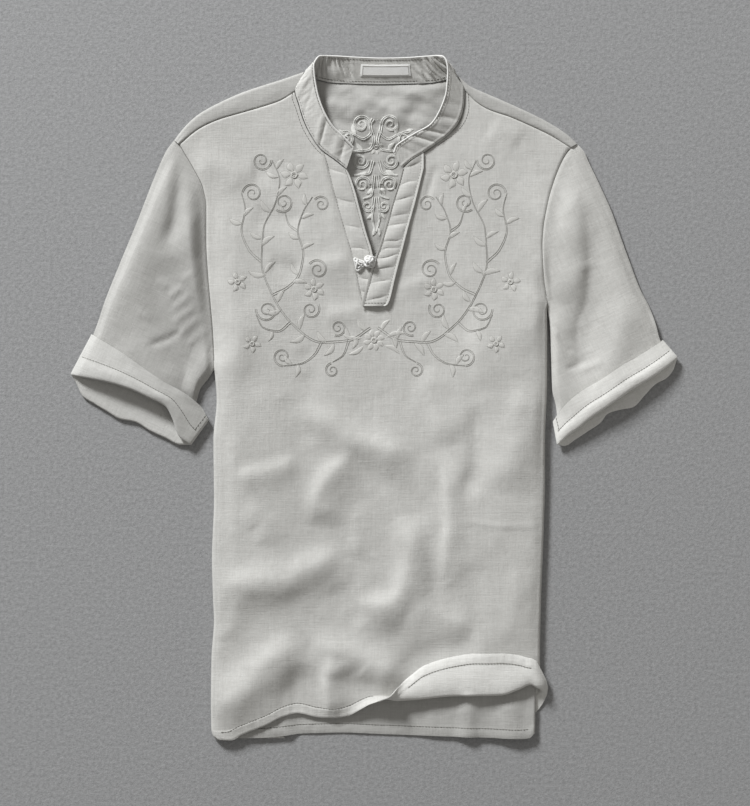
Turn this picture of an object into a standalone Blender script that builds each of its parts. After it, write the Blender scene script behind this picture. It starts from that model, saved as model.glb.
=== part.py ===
"""Short-sleeved linen pullover shirt, laid flat on its back.

The frame is X to the viewer's right, Y towards the collar and Z up, with the origin on the floor
under the middle of the shirt. Lengths are in millimetres until a mesh is made.

From the floor up, the body is layered as it was folded: the sides of the front turned under, the
sides of the back turned under, the back, and the front. Sleeves are flattened tubes with their
mouths rolled back, and the front's hem is turned up at the viewer's lower right.
"""

import bpy
import numpy as np

MM = 0.001

# Driving dimensions
CLOTH = 1.0  # one layer of linen, a little thicker than the real cloth
GAP = 0.4  # clearance at seams and between layers
LAYER = CLOTH + GAP
FLOOR = CLOTH / 2  # middle of a layer that rests on the floor
SIDE_TUCK = 76.0  # how far each side is folded under, which makes the chest 52 cm across
SIDE_ROUND = 4.5  # half-width of the front's rounded side fold
BACK_INSET = 6.0  # how far the back's side fold lies inside the front's
BACK_ROUND = 1.6
AIR_BODY = 2.6  # space between front and back over the belly
AIR_CHEST = 3.4  # and over the chest
YOKE_SEAM = 231.0  # height of the seam between yoke and back
SLIT_FOOT = 152.0  # where the neck slit in the front ends
ROLL_RADIUS = 3.0  # of the turned-up hem
FLAP_REST = 2.3  # height of the turned-up hem's edge over the front
BAND_WALL = 1.8  # the collar band is two layers
CUFF_ROLL = 1.5  # radius of the fold at a sleeve's mouth

UNDERARM_LEFT = 33.0
UNDERARM_RIGHT = 104.0


def table(names, *rows):
    """A table's columns by name."""
    return dict(zip(names.split(), np.array(rows, float).T))


def ease(t):
    """0 below 0, 1 above 1 and smooth between."""
    t = np.clip(t, 0.0, 1.0)
    return t * t * (3 - 2 * t)


def mix(a, b, t):
    return a + (b - a) * t


def smooth(x, y):
    """Cubic through the points that doesn't overshoot them, as a function of x."""
    order = np.argsort(x)
    x, y = np.asarray(x, float)[order], np.asarray(y, float)[order]
    step, slope = np.diff(x), np.diff(y) / np.diff(x)
    tangent = np.concatenate([slope[:1], np.zeros(len(x) - 2), slope[-1:]])
    turns = slope[:-1] * slope[1:] <= 0
    flat = np.where(turns, 1.0, slope[:-1] + slope[1:])
    tangent[1:-1] = np.where(turns, 0.0, 2 * slope[:-1] * slope[1:] / flat)

    def at(q):
        q = np.clip(q, x[0], x[-1])
        i = np.clip(np.searchsorted(x, q) - 1, 0, len(step) - 1)
        t = (q - x[i]) / step[i]
        start = (1 + 2 * t) * (1 - t) ** 2 * y[i] + t * (1 - t) ** 2 * step[i] * tangent[i]
        end = t * t * (3 - 2 * t) * y[i + 1] - t * t * (1 - t) * step[i] * tangent[i + 1]
        return start + end

    return at


def path(*points):
    """Smooth curve through the points, as a function of the share of its length."""
    points = np.array(points, float)
    along = np.concatenate([[0], np.cumsum(np.linalg.norm(np.diff(points, axis=0), axis=1))])
    columns = [smooth(along / along[-1], points[:, k]) for k in range(points.shape[1])]
    return lambda t: np.stack([column(np.asarray(t, float)) for column in columns], axis=-1)


def patch(foot, head, left, right):
    """Surface between four boundary curves, as a function of u across and v up."""

    def at(u, v):
        u1, v1 = u[..., None], v[..., None]
        ruled_up = mix(foot(u), head(u), v1)
        ruled_across = mix(left(v), right(v), u1)
        corners = mix(mix(foot(0 * u), foot(0 * u + 1), u1), mix(head(0 * u), head(0 * u + 1), u1), v1)
        return ruled_up + ruled_across - corners

    return at


# Rows that front, back, yoke and sleeves share along the armholes, so that their edges follow each other
ARM_ROWS = (33, 57, 80, 104, 120, 136, 152, 177, 203, 217, 231, 241.5, 253, 265.5)

# Outlines of the body, from the hem up to the shoulder points
LEFT = table(
    "y x",
    (-376, -173), (-371, -177.5), (-364, -179), (-332, -179.3), (-288, -178.8), (-244, -176), (-222, -177),
    (-178, -178.2), (-112, -176), (-46, -176.6), (-2, -173), (33, -175.5), (75, -177.7), (108, -180.4),
    (141, -183.2), (174, -184.8), (210, -184.8), (231, -188.1), (252, -198), (269, -208), (279.4, -214.5),
    (284, -220),
)
RIGHT = table(
    "y x",
    (-376, 183), (-332, 183.7), (-285, 182.6), (-222, 183.7), (-178, 185.4), (-134, 187), (-90, 188.1),
    (-46, 188.1), (20, 190.3), (64, 190.3), (104, 190), (119, 188.7), (139, 186.3), (167.5, 184.8),
    (187, 185.9), (218, 191.4), (231, 195), (249, 201.3), (264, 208), (276.2, 216.2), (280.1, 223.6),
)
left_x = smooth(LEFT["y"], LEFT["x"])
right_x = smooth(RIGHT["y"], RIGHT["x"])

SHOULDER_SEAM_LEFT = path(
    (-214.5, 279.4), (-191.4, 297.5), (-169.4, 307.5), (-147.4, 314), (-125.4, 320.4), (-103.4, 328), (-88, 337.5)
)
SHOULDER_SEAM_RIGHT = path(
    (216.2, 276.2), (193.6, 290), (171.6, 300.5), (149.6, 310), (127.6, 317.5), (114.4, 325), (101, 338)
)
SHOULDER_FOLD_LEFT = path(
    (-219.9, 284), (-213.4, 292.9), (-202.4, 305), (-191.4, 313.8), (-169.4, 325.9), (-147.4, 335.8),
    (-125.4, 343.5), (-103.4, 350.4), (-77, 359.5),
)
SHOULDER_FOLD_RIGHT = path(
    (223.6, 280.3), (215.6, 288), (204.6, 296.2), (182.6, 308.9), (160.6, 319.3), (138.6, 329.2),
    (116.6, 338.6), (105.6, 343.8), (93, 354.8),
)
NECK_BACK = ((-66, 351.5), (-48, 347.5), (-20, 346), (6.6, 345.5), (34, 346), (61.6, 347), (81, 350))
SLIT_LEFT = path((0, SLIT_FOOT), (-8.8, 182.9), (-15.4, 207.1), (-22, 231.3), (-31.2, 251.2))
SLIT_RIGHT = path((0, SLIT_FOOT), (4.4, 163.1), (11, 185.1), (18.7, 212.6), (24.2, 229.1), (31.2, 252.2))
NECK_LEFT = path(
    (-31.2, 251.2), (-45.1, 262.8), (-58.3, 272.6), (-68.2, 286.3), (-78.1, 306.1), (-83.6, 323.7), (-88, 337.5)
)
NECK_RIGHT = path(
    (31.2, 252.2), (41.8, 261.5), (56.1, 270.2), (70.4, 280.3), (83.6, 290.4), (95.7, 306.1), (100.3, 324.8),
    (101, 338),
)

# Largest folds of the front: a ridge (or a trough, where height is negative) from one end to the other.
# Bow is how far its middle stands to the left of the way from the first end to the second.
FRONT_FOLDS = table(
    "x0 y0 x1 y1 bow half_width height",
    (-84, 14, 30, -48, 6, 16, 4.5),  # chest, slanting down to the right
    (-28, -44, -75, -134, -15, 14, 4.5),  # curls down from the first
    (-182, -196, -38, -172, 5, 17, 5.0),  # across from the left side
    (36, -112, 28, -212, 6, 14, 5.0),  # upright beside the middle
    (30, -208, -36, -224, 4, 12, 4.0),  # its foot, hooked to the left
    (58, 10, 84, -200, 12, 15, 3.5),  # long and upright on the right
    (-178, -324, -80, -252, 8, 20, 6.0),  # left leg of the arch over the hem
    (-82, -252, 28, -298, 10, 17, 6.0),  # right leg of the arch
    (-54, -290, -46, -352, 0, 15, 8.0),  # wave that lifts the hem
    (-84, -280, -90, -346, 0, 14, -1.5),
    (-30, -290, -4, -324, 0, 12, -3.0),
    (170, 218, 138, -178, 8, 30, 2.5),  # long soft swell under the right chest
    (-115, 4, -80, -55, 3, 11, 3.0),
    (45, -214, 92, -236, 3, 13, 3.0),
    (-158, -262, -62, -212, 4, 15, -2.0),
    (60, -292, 118, -262, -4, 18, -2.0),
)
BACK_FOLDS = table(
    "x0 y0 x1 y1 bow half_width height",
    (136, -300, 132, -376, 0, 9, 2.2),
    (162, -300, 160, -376, 0, 8, 1.6),
    (70, -310, 62, -376, 0, 12, 1.2),
)


def relief(folds, x, y, steps=9):
    """Height of all the folds of a table at a point: each is round across and fades towards its ends."""
    total = np.zeros(np.broadcast(x, y).shape)
    for row in zip(*folds.values()):
        x0, y0, x1, y1, bow, half_width, height = row
        length = np.hypot(x1 - x0, y1 - y0)
        t = np.linspace(0, 1, steps)
        side = bow * 4 * t * (1 - t)
        line_x = mix(x0, x1, t) - side * (y1 - y0) / length
        line_y = mix(y0, y1, t) + side * (x1 - x0) / length
        best = np.full(total.shape, np.inf)
        where = np.zeros(total.shape)
        for i in range(steps - 1):
            dx, dy = line_x[i + 1] - line_x[i], line_y[i + 1] - line_y[i]
            share = np.clip(((x - line_x[i]) * dx + (y - line_y[i]) * dy) / (dx * dx + dy * dy), 0, 1)
            away = np.hypot(x - line_x[i] - share * dx, y - line_y[i] - share * dy)
            nearer = away < best
            best = np.where(nearer, away, best)
            where = np.where(nearer, t[i] + share * t[1], where)
        fade = ease(where / 0.28) * ease((1 - where) / 0.28)
        total += height * fade * np.exp(-((best / half_width) ** 2) * 1.4)
    return total


def tuck_width(y, underarm):
    """How far the sides are folded under: less just below the armhole, whose foot is folded under too."""
    return 12 + (SIDE_TUCK - 12) * ease((underarm - y) / 60)


def over_tucks(x, y, soft, reach):
    """Height of the layers turned under the back's sides: reach is how far they raise what lies on them."""
    lift = np.zeros(np.broadcast(x, y).shape)
    for inward, underarm in ((x - left_x(y), UNDERARM_LEFT), (right_x(y) - x, UNDERARM_RIGHT)):
        over = ease((tuck_width(y, underarm) + reach - inward) / soft)
        lift = np.maximum(lift, over * ease((underarm + 28 - y) / 28))
    return 2 * LAYER * lift


def back_z(x, y):
    """Middle of the back's upper layer: on the floor, and over its own turned-under sides."""
    curl = np.zeros(np.broadcast(x, y).shape)
    for inward, underarm in ((x - left_x(y), UNDERARM_LEFT), (right_x(y) - x, UNDERARM_RIGHT)):
        below = ease((underarm + 28 - y) / 28)
        curl = np.maximum(curl, ease((BACK_INSET + 14 - inward) / 12) * below)
    return FLOOR + over_tucks(x, y, 16, 20) + 1.2 * curl + np.maximum(relief(BACK_FOLDS, x, y), 0)


def front_z(x, y):
    """Middle of the front's upper layer, which spans the back's steps softly."""
    air = mix(AIR_BODY, AIR_CHEST, ease((y - 40) / 150)) * mix(0.55, 1.0, ease((y + 376) / 60))
    edge = np.minimum(x - left_x(y), right_x(y) - x)
    back = back_z(x, y)
    spanned = FLOOR + over_tucks(x, y, 90, 62) - back
    rise = air + np.maximum(spanned, -1.2) + relief(FRONT_FOLDS, x, y) * ease((edge + 4) / 18)
    # Troughs stop just above the back
    return back + LAYER + (rise + np.hypot(rise, 1)) / 2


def side_section(across, y, inset, round_x, foot_z, top_z, inner_end):
    """One layer's section: its top, its two rounded sides and the two parts folded under.

    Across runs from -2 at the inner end under the left side, over -1 to 0 round the left side, to 1
    at the right side and 3 under it. Returns the points and the outward normals in the XZ plane.
    """
    left, right = left_x(y) + inset + round_x, right_x(y) - inset - round_x
    x = mix(left, right, np.clip(across, 0, 1))
    z = top_z(x, y)
    normal_x, normal_z = np.zeros(x.shape), np.ones(x.shape)
    for sign, beyond, edge, underarm in (
        (-1, -across, left, UNDERARM_LEFT),
        (1, across - 1, right, UNDERARM_RIGHT),
    ):
        turned = beyond > 0
        angle = np.clip(beyond, 0, 1) * np.pi
        edge_z = top_z(edge, y)
        under = np.clip(beyond - 1, 0, 1) * (inner_end(y, underarm) - inset - round_x)
        side_x = edge + sign * (round_x * np.sin(angle) - under)
        side_z = mix(edge_z, foot_z, (1 - np.cos(angle)) / 2)
        x, z = np.where(turned, side_x, x), np.where(turned, side_z, z)
        normal_x = np.where(turned, sign * np.sin(angle), normal_x)
        normal_z = np.where(turned, np.maximum(np.cos(angle), 0), normal_z)
    return x, z, normal_x, normal_z


# How the front ends at the hem. Key runs along the hem as x does over the top, and 20 further for each
# quarter of the way round a side. Turn is where the cloth starts to roll, angle how far it rolls
# upwards in degrees, and beyond the length of cloth past the turn.
HEM = table(
    "key turn angle beyond",
    (-215, -360, 0, 12), (-195, -358, 0, 12), (-175, -358, 0, 12), (-165, -363, 0, 12), (-145, -357, 0, 12),
    (-119, -347.4, 0, 12), (-101, -338.6, 0, 12), (-85, -334.8, 0, 12), (-61, -339.5, 0, 12),
    (-45, -339.7, 0, 12), (-28.6, -337.5, 5, 12), (-16, -331, 25, 12), (-3, -326.5, 55, 12.5),
    (9, -326, 92, 13.5), (26, -329, 150, 25.5), (41, -328.5, 172, 34.2), (55, -327.4, 180, 42.3),
    (71.5, -325.5, 180, 46.6), (88, -324.3, 180, 49.6), (111, -323.9, 180, 52.7), (138.6, -323.2, 180, 52.4),
    (158, -317, 180, 44.4), (171.6, -311.5, 180, 35.4), (178, -315, 180, 36),
    (184.7, -318, 150, 24), (191.3, -322, 75, 12), (198, -330, 0, 22), (218, -332, 0, 40),
)
hem_turn, hem_angle, hem_beyond = (smooth(HEM["key"], HEM[name]) for name in ("turn", "angle", "beyond"))
HEM_LEVEL = -358.0  # where the rows of the front would end if its hem were straight


def hem_key(across):
    over = mix(-175, 178, np.clip(across, 0, 1))
    return over + 20 * np.minimum(across, 0) + 20 * np.maximum(across - 1, 0)


def front_point(across, y, out=0.0):
    """Point on the front, moved outwards by out."""
    x, z, normal_x, normal_z = side_section(across, y, 0.0, SIDE_ROUND, FLOOR, front_z, tuck_width)
    return np.stack([x + out * normal_x, y + 0 * x, z + out * normal_z], axis=-1)


def front_rows(across, levels):
    """Rows of the front from the slit's foot down to where the hem starts to turn."""
    key = hem_key(across)
    warp = ease((-150 - levels) / (-150 - HEM_LEVEL))
    y = levels + (hem_turn(key) - HEM_LEVEL) * warp
    return front_point(across, y)


def hem_rows(across, roll_steps, flap_steps):
    """The last rows of the front, rolled up or left straight as the HEM table says."""
    key = hem_key(across[:1])
    turn, angle, beyond = hem_turn(key), np.radians(hem_angle(key)), hem_beyond(key)
    arc = mix(0.4 * beyond, np.pi * ROLL_RADIUS, angle / np.pi)
    radius = arc / np.maximum(angle, 1e-6)
    rows = []
    for k in range(1, roll_steps + flap_steps + 1):
        part = angle * min(k, roll_steps) / roll_steps
        straight = (beyond - arc) * max(k - roll_steps, 0) / flap_steps
        y = turn - radius * np.sin(part) - straight * np.cos(angle)
        up = radius * (1 - np.cos(part))
        rest = mix(up, FLAP_REST, ease(straight / np.maximum(beyond - arc, 1)))
        flat = ease((angle - np.radians(120)) / np.radians(50))
        up = mix(up + straight * np.sin(angle), rest, flat * (k > roll_steps))
        rows.append(front_point(across[:1], y, up)[0])
    return np.array(rows)


def welded(grids):
    """Points and quads of several grids, with the points that they share made one."""
    points, faces, index = [], [], {}
    for grid in grids:
        ids = np.full(grid.shape[:2], -1)
        for i, j in np.ndindex(ids.shape):
            if np.isnan(grid[i, j, 0]):
                continue
            spot = tuple(np.round(grid[i, j] * 1000).astype(int))
            if spot not in index:
                index[spot] = len(points)
                points.append(grid[i, j])
            ids[i, j] = index[spot]
        for i, j in np.ndindex(ids.shape[0] - 1, ids.shape[1] - 1):
            ring = [ids[i, j], ids[i, j + 1], ids[i + 1, j + 1], ids[i + 1, j]]
            if min(ring) >= 0 and len(set(ring)) == 4:
                faces.append([int(n) for n in ring])
    return np.array(points), faces


def material(name, colour, roughness):
    found = bpy.data.materials.get(name)
    if found is None:
        found = bpy.data.materials.new(name)
        found.use_nodes = True
        shader = found.node_tree.nodes["Principled BSDF"]
        shader.inputs["Base Color"].default_value = (*colour, 1.0)
        shader.inputs["Roughness"].default_value = roughness
        shader.inputs["Metallic"].default_value = 0.0
    return found


def linen():
    return material("linen", (0.60, 0.60, 0.57), 0.85)


def cord():
    return material("knot cord", (0.78, 0.78, 0.75), 0.7)


def tape():
    return material("label tape", (0.82, 0.82, 0.78), 0.6)


def place(name, points, faces, finish, wall=None):
    """An object of that mesh, thickened about its surface to wall."""
    mesh = bpy.data.meshes.new(name)
    mesh.from_pydata([tuple(float(c) * MM for c in p) for p in points], [], faces)
    mesh.materials.append(finish)
    mesh.shade_smooth()
    obj = bpy.data.objects.new(name, mesh)
    bpy.context.scene.collection.objects.link(obj)
    if wall:
        solidify = obj.modifiers.new("Wall", "SOLIDIFY")
        solidify.thickness = wall * MM
        solidify.offset = 0.0
        solidify.use_even_offset = False
    return obj


def arm_rows(low, high):
    """The shared armhole rows from low to high, both included."""
    between = [row for row in ARM_ROWS if low < row < high]
    return np.array([low, *between, high], float)


def across_steps(top, arc, under):
    """Across values of a section's points: folded under, round the side, over the top and back."""
    right = np.concatenate([1 + np.linspace(0, 1, arc + 1)[1:], 2 + np.linspace(0, 1, under + 1)[1:]])
    return np.concatenate([(1 - right)[::-1], np.linspace(0, 1, top + 1), right])


def only_below_underarms(grid, across, levels):
    """Takes away the rounded and folded-under parts of a grid above the underarms."""
    grid = grid.copy()
    for outside, underarm in ((across < 0, UNDERARM_LEFT), (across > 1, UNDERARM_RIGHT)):
        grid[outside & (levels > underarm + 0.01)] = np.nan
    return grid


def levels_through(*stops):
    """Heights of a grid's rows: pairs of a stop and the number of rows down to the next one."""
    found = [np.linspace(a, b, n + 1)[1:] for (a, n), (b, _) in zip(stops[:-1], stops[1:])]
    return np.concatenate([[stops[0][0]], *found])


def front():
    across = across_steps(top=24, arc=3, under=2)
    middle = 2 + 3 + 12
    levels = levels_through(
        (SLIT_FOOT, 3), (UNDERARM_RIGHT, 1), (80, 1), (57, 1), (UNDERARM_LEFT, 27), (HEM_LEVEL, 0)
    )
    a, y = np.meshgrid(across, levels)
    # Above the underarms the outermost top points slide out from the rounding to the armhole edge
    body = only_below_underarms(front_rows(a, y), a, y)
    for column, edge_x, underarm in ((5, left_x, UNDERARM_LEFT), (29, right_x, UNDERARM_RIGHT)):
        above = levels > underarm + 0.01
        x = edge_x(levels[above])
        body[above, column] = np.stack([x, levels[above], front_z(x, levels[above])], axis=-1)
    hem = np.concatenate([body[-1:], hem_rows(a, roll_steps=4, flap_steps=3)])
    # The slit's foot is the point of the top row nearest the middle
    body[0, middle, :2] = 0.0, SLIT_FOOT
    body[0, middle, 2] = front_z(0.0, SLIT_FOOT)
    row_left, row_right = body[0, 5 : middle + 1], body[0, middle:30]
    upper_left = upper_front(row_left, left_x, 279.4, SHOULDER_SEAM_LEFT, SLIT_LEFT, NECK_LEFT)
    upper_right = upper_front(row_right[::-1], right_x, 276.2, SHOULDER_SEAM_RIGHT, SLIT_RIGHT, NECK_RIGHT)
    points, faces = welded([body[::-1], hem[::-1], upper_left, upper_right[:, ::-1]])
    place("front", points, faces, linen(), CLOTH)


def upper_front(foot_row, edge_x, shoulder_y, seam, slit, neck, slit_rows=3):
    """Half of the front above the slit's foot, from the armhole to the slit and neck."""
    share = (foot_row[:, 0] - foot_row[0, 0]) / (foot_row[-1, 0] - foot_row[0, 0])
    v = (arm_rows(SLIT_FOOT, shoulder_y) - SLIT_FOOT) / (shoulder_y - SLIT_FOOT)
    kink = v[slit_rows]

    def foot(u):
        return np.stack([mix(foot_row[0, 0], foot_row[-1, 0], u), np.full(u.shape, SLIT_FOOT)], axis=-1)

    def armhole(t):
        y = mix(SLIT_FOOT, shoulder_y, t)
        return np.stack([edge_x(y), y], axis=-1)

    def inner(t):
        low, high = slit(np.clip(t / kink, 0, 1)), neck(np.clip((t - kink) / (1 - kink), 0, 1))
        return np.where((t < kink)[..., None], low, high)

    shape = patch(foot, seam, armhole, inner)
    u, v = np.meshgrid(share, v)
    # Columns end evenly spaced along the seam, as the yoke's do
    flat = shape(mix(u, np.linspace(0, 1, len(share)), v), v)
    grid = np.concatenate([flat, front_z(flat[..., 0], flat[..., 1])[..., None]], axis=-1)
    grid[0] = foot_row
    return grid


HEM_BACK = table(
    "x y",
    (-178, -366), (-174, -373), (-166, -376.7), (-125, -374), (-81, -369.8), (-37, -368.7), (6.6, -370.4),
    (73, -372.6), (117, -373.7), (163, -375), (172, -374), (178, -367),
)
back_hem = smooth(HEM_BACK["x"], HEM_BACK["y"])
BACK_LEVEL = -372.0


def back_point(across, y):
    top_foot = FLOOR + LAYER
    x, z, _, _ = side_section(across, y, BACK_INSET, BACK_ROUND, top_foot, back_z, tuck_width)
    return np.stack([x, y + 0 * x, z], axis=-1)


def back():
    across = across_steps(top=18, arc=3, under=1)
    arm = arm_rows(UNDERARM_LEFT, YOKE_SEAM - GAP / 2)[::-1]
    levels = np.concatenate([arm[:-1], levels_through((UNDERARM_LEFT, 8), (-300, 4), (BACK_LEVEL, 0))])
    a, y = np.meshgrid(across, levels)
    reach = mix(-175, 176, np.clip(a, 0, 1))
    y_hem = y + (back_hem(reach) - BACK_LEVEL) * ease((-300 - y) / (-300 - BACK_LEVEL))
    grid = only_below_underarms(back_point(a, y_hem), a, y)
    for column, edge_x, underarm in ((4, left_x, UNDERARM_LEFT), (22, right_x, UNDERARM_RIGHT)):
        above = levels > underarm + 0.01
        x = edge_x(levels[above])
        grid[above, column] = np.stack([x, levels[above], back_z(x, levels[above])], axis=-1)
    points, faces = welded([grid[::-1]])
    place("back", points, faces, linen(), CLOTH)


YOKE_ROUND = 4.0


def shoulder_frame(fold, seam, t):
    """Fold point and seam point at a share of the shoulder, and the way from one to the other in plan."""
    outer, inner = fold(t), seam(t)
    way = (inner - outer) / np.linalg.norm(inner - outer, axis=-1, keepdims=True)
    return outer, inner - way * 2.4 * GAP, way


def yoke():
    shoulder, neck = np.linspace(0, 1, 13), np.linspace(0, 1, 13)
    outer_l, seam_l, way_l = shoulder_frame(SHOULDER_FOLD_LEFT, SHOULDER_SEAM_LEFT, shoulder)
    outer_r, seam_r, way_r = shoulder_frame(SHOULDER_FOLD_RIGHT, SHOULDER_SEAM_RIGHT, shoulder)
    head_l, head_r = outer_l + YOKE_ROUND * way_l, outer_r + YOKE_ROUND * way_r
    neck_curve = path(head_l[-1], *NECK_BACK, head_r[-1])(neck)
    head = np.concatenate([head_l, neck_curve[1:-1], head_r[::-1]])
    low = YOKE_SEAM + GAP / 2
    share = np.linspace(0, 1, len(head))
    foot = np.column_stack([mix(left_x(low), right_x(low), share), 0 * share + low])
    rows_l, rows_r = arm_rows(low, head_l[0, 1]), arm_rows(low, head_r[0, 1])
    grid = np.zeros((len(rows_l), len(head), 3))
    for i, (row_l, row_r) in enumerate(zip(rows_l, rows_r)):
        v = (row_l - low) / (rows_l[-1] - low)
        grid[i, :, :2] = mix(foot, head, v)
        # The outermost columns follow the armholes
        grid[i, 0, :2], grid[i, -1, :2] = (left_x(row_l), row_l), (right_x(row_r), row_r)
    grid[-1, :, :2] = head
    grid[:, :, 2] = FLOOR
    left = shoulder_wrap(head_l, seam_l, way_l)
    right = shoulder_wrap(head_r, seam_r, way_r)
    points, faces = welded([grid, left, right[:, ::-1]])
    place("yoke", points, faces, linen(), CLOTH)


def shoulder_wrap(head, seam, way, arc_rows=4, top_rows=1):
    """The yoke from its lower layer round the shoulder fold to the seam with the front."""
    top = front_z(seam[:, 0], seam[:, 1])
    rows = []
    for angle in np.linspace(0, np.pi, arc_rows + 1):
        flat = head - way * YOKE_ROUND * np.sin(angle)
        rows.append(np.column_stack([flat, mix(FLOOR, top, (1 - np.cos(angle)) / 2)]))
    for t in np.linspace(0, 1, top_rows + 1)[1:]:
        rows.append(np.column_stack([mix(head, seam, t), top]))
    return np.array(rows)


# The collar band, from its left front end round the back to its right one: foot and top edge
BAND = table(
    "foot_x foot_y foot_z top_x top_y top_z",
    (-30.2, 253, 7.2, -22.5, 275.5, 9.3),
    (-44.2, 264, 7.2, -33, 286.5, 10.8),
    (-57.2, 273.6, 7.2, -46, 299.5, 11.8),
    (-67.2, 287, 7.2, -55.5, 316, 12.8),
    (-77, 306.5, 7.2, -62.3, 336, 13.3),
    (-82.4, 324, 7.2, -65.2, 353, 13.8),
    (-86.4, 338.5, 7.2, -66, 364, 14.8),
    (-77.2, 355.8, 6.6, -63.5, 371, 15.3),
    (-74.6, 360.2, 4, -59, 375.4, 13.3),
    (-64.8, 353.4, 1.8, -51, 376, 10.3),
    (-47.6, 348.7, 1.2, -42, 375.9, 9),
    (-20, 347.2, 1, -17.6, 374.8, 7.5),
    (6.6, 346.7, 1, 6.6, 373.9, 7),
    (34, 347.2, 1, 31, 374.2, 7.5),
    (61.6, 348.2, 1.2, 56.5, 375.6, 9),
    (79.5, 351.8, 1.8, 67.5, 376.2, 10.3),
    (90.4, 356, 4, 75, 375.2, 13.3),
    (92, 350.4, 6.6, 79.8, 368.5, 15.3),
    (99.3, 338.8, 7.2, 81, 357.5, 14.8),
    (99, 324.8, 7.2, 79.5, 337.5, 13.8),
    (94.4, 306.7, 7.2, 73, 317.5, 12.8),
    (82.8, 291.4, 7.2, 62, 300.5, 11.8),
    (69.8, 281.4, 7.2, 47, 292, 10.8),
    (55.6, 271.4, 7.2, 34.5, 284.5, 10.3),
    (41.2, 262.7, 7.2, 24.5, 277, 9.3),
    (30.4, 254, 7.2, 22, 270, 10),
)


def band_station(t):
    """Foot and top edge at row t of the table, with smooth steps between rows."""
    rows = np.arange(len(BAND["foot_x"]))
    return [
        np.stack([smooth(rows, BAND[end + axis])(t) for axis in ("_x", "_y", "_z")], axis=-1)
        for end in ("foot", "top")
    ]


def band_point(t, share, out=0.0):
    """Point on the band, a share of the way up from its foot, moved out of its inner face."""
    foot, top = band_station(t)
    foot_next, _ = band_station(t + 0.01)
    foot_last, _ = band_station(t - 0.01)
    normal = np.cross(foot_next - foot_last, top - foot)
    normal /= np.linalg.norm(normal, axis=-1, keepdims=True)
    return mix(foot, top, share[..., None]) - out * normal


def collar_band():
    t, share = np.meshgrid(np.linspace(0, len(BAND["foot_x"]) - 1, 33), np.linspace(0, 1, 3))
    points, faces = welded([band_point(t, share)])
    place("collar_band", points, faces, linen(), BAND_WALL)


def label():
    t, share = np.meshgrid(np.linspace(11.16, 13.27, 4), np.linspace(0.32, 0.76, 2))
    points, faces = welded([band_point(t, share, out=-(BAND_WALL / 2 + GAP + 0.35))])
    place("label", points, faces, tape(), 0.6)


PLACKET_LEFT = table(
    "y outer inner",
    (273.0, -58.6, -40), (264.0, -55.5, -42.5), (252.2, -52.6, -30.4), (231.3, -47.5, -22), (207.1, -41, -15.4),
    (182.9, -34, -8.8), (160.9, -27.3, -2.2), (135.6, -21, 2.2), (112, -15.8, 3.4), (103, -13.4, 3.8),
)
PLACKET_RIGHT = table(
    "y outer inner",
    (253.3, 54.6, 31.4), (229.1, 48.6, 24.2), (212.6, 44.4, 18.7), (185.1, 36.8, 11), (163.1, 31.2, 4.4),
    (149.9, 27.6, -1.1), (130.1, 22.6, -6.6), (110, 17.8, -12.2), (104, 15.4, -13.7), (101.5, 12.4, -14.0),
)
HEAD_LEFT = path((-58.3, 271.2), (-45.1, 261.4), (-31.4, 250.2))
HEAD_RIGHT = path((56, 268.8), (41.8, 260.1), (31.4, 251))


def placket(name, shape, head, foot_y, top_y, lift):
    """A strip along one side of the slit, lifted off the front."""
    outer, inner = smooth(shape["y"], shape["outer"]), smooth(shape["y"], shape["inner"])

    def side(x_at, end):
        return lambda v: np.stack([x_at(mix(foot_y, end, v)), mix(foot_y, end, v)], axis=-1)

    left, right = side(outer, head(0.0)[1]), side(inner, top_y)
    foot = path(left(np.array(0.0)), right(np.array(0.0)))
    corner_l, corner_r = left(np.array(1.0)), right(np.array(1.0))
    top = path(corner_l, mix(corner_l, corner_r, 0.5) + (head(0.5) - mix(head(0.0), head(1.0), 0.5)), corner_r)
    u, v = np.meshgrid(np.linspace(0, 1, 4), np.linspace(0, 1, 13))
    flat = patch(foot, top, left, right)(u, v)
    z = front_z(flat[..., 0], flat[..., 1]) + lift(flat[..., 1])
    grid = np.concatenate([flat, z[..., None]], axis=-1)
    if outer(200.0) > 0:
        grid = grid[:, ::-1]
    points, faces = welded([grid])
    place(name, points, faces, linen(), CLOTH)


def plackets():
    placket("placket_left", PLACKET_LEFT, HEAD_LEFT, 103.5, 250.2, lambda y: LAYER + 0 * y)
    placket(
        "placket_right", PLACKET_RIGHT, HEAD_RIGHT, 101.5, 251, lambda y: LAYER * (1 + ease((200 - y) / 30))
    )


# Sleeves, as curves in plan. Each runs from the inner fold to the outer one.
MOUTH_TOP_LEFT = path(
    (-203, -48), (-214, -40), (-221, -20), (-227.5, -8), (-246.4, 2.5), (-268.4, 12.4), (-290.4, 19), (-312.4, 23.4),
    (-330.5, 26.7),
)
MOUTH_FOOT_LEFT = path(
    (-203, -49), (-213, -50), (-230, -42.6), (-246.4, -34.9), (-262.9, -25), (-279.4, -21.7), (-292.6, -14),
    (-306.9, -5.2), (-320.1, 3.6), (-326, 16), (-330.5, 26.7),
)
CUFF_TOP_LEFT = path(
    (-183.5, -23), (-191.4, -8.5), (-202.4, 1.4), (-213.4, 9.1), (-229.9, 17.9), (-246.4, 28.9), (-268.4, 44.3),
    (-290.4, 58.6), (-309.5, 69.6),
)
INNER_LEFT = ((-183, 22), (-192, 10), (-196, -4), (-199, -26), (-203, -48))
OUTER_LEFT = (
    (-227.7, 274.2), (-233.8, 262), (-243.1, 240.1), (-260.2, 196.1), (-278.3, 152.1),
    (-295.9, 108.1), (-309, 69.6), (-321, 45), (-330.5, 26.7),
)
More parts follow.
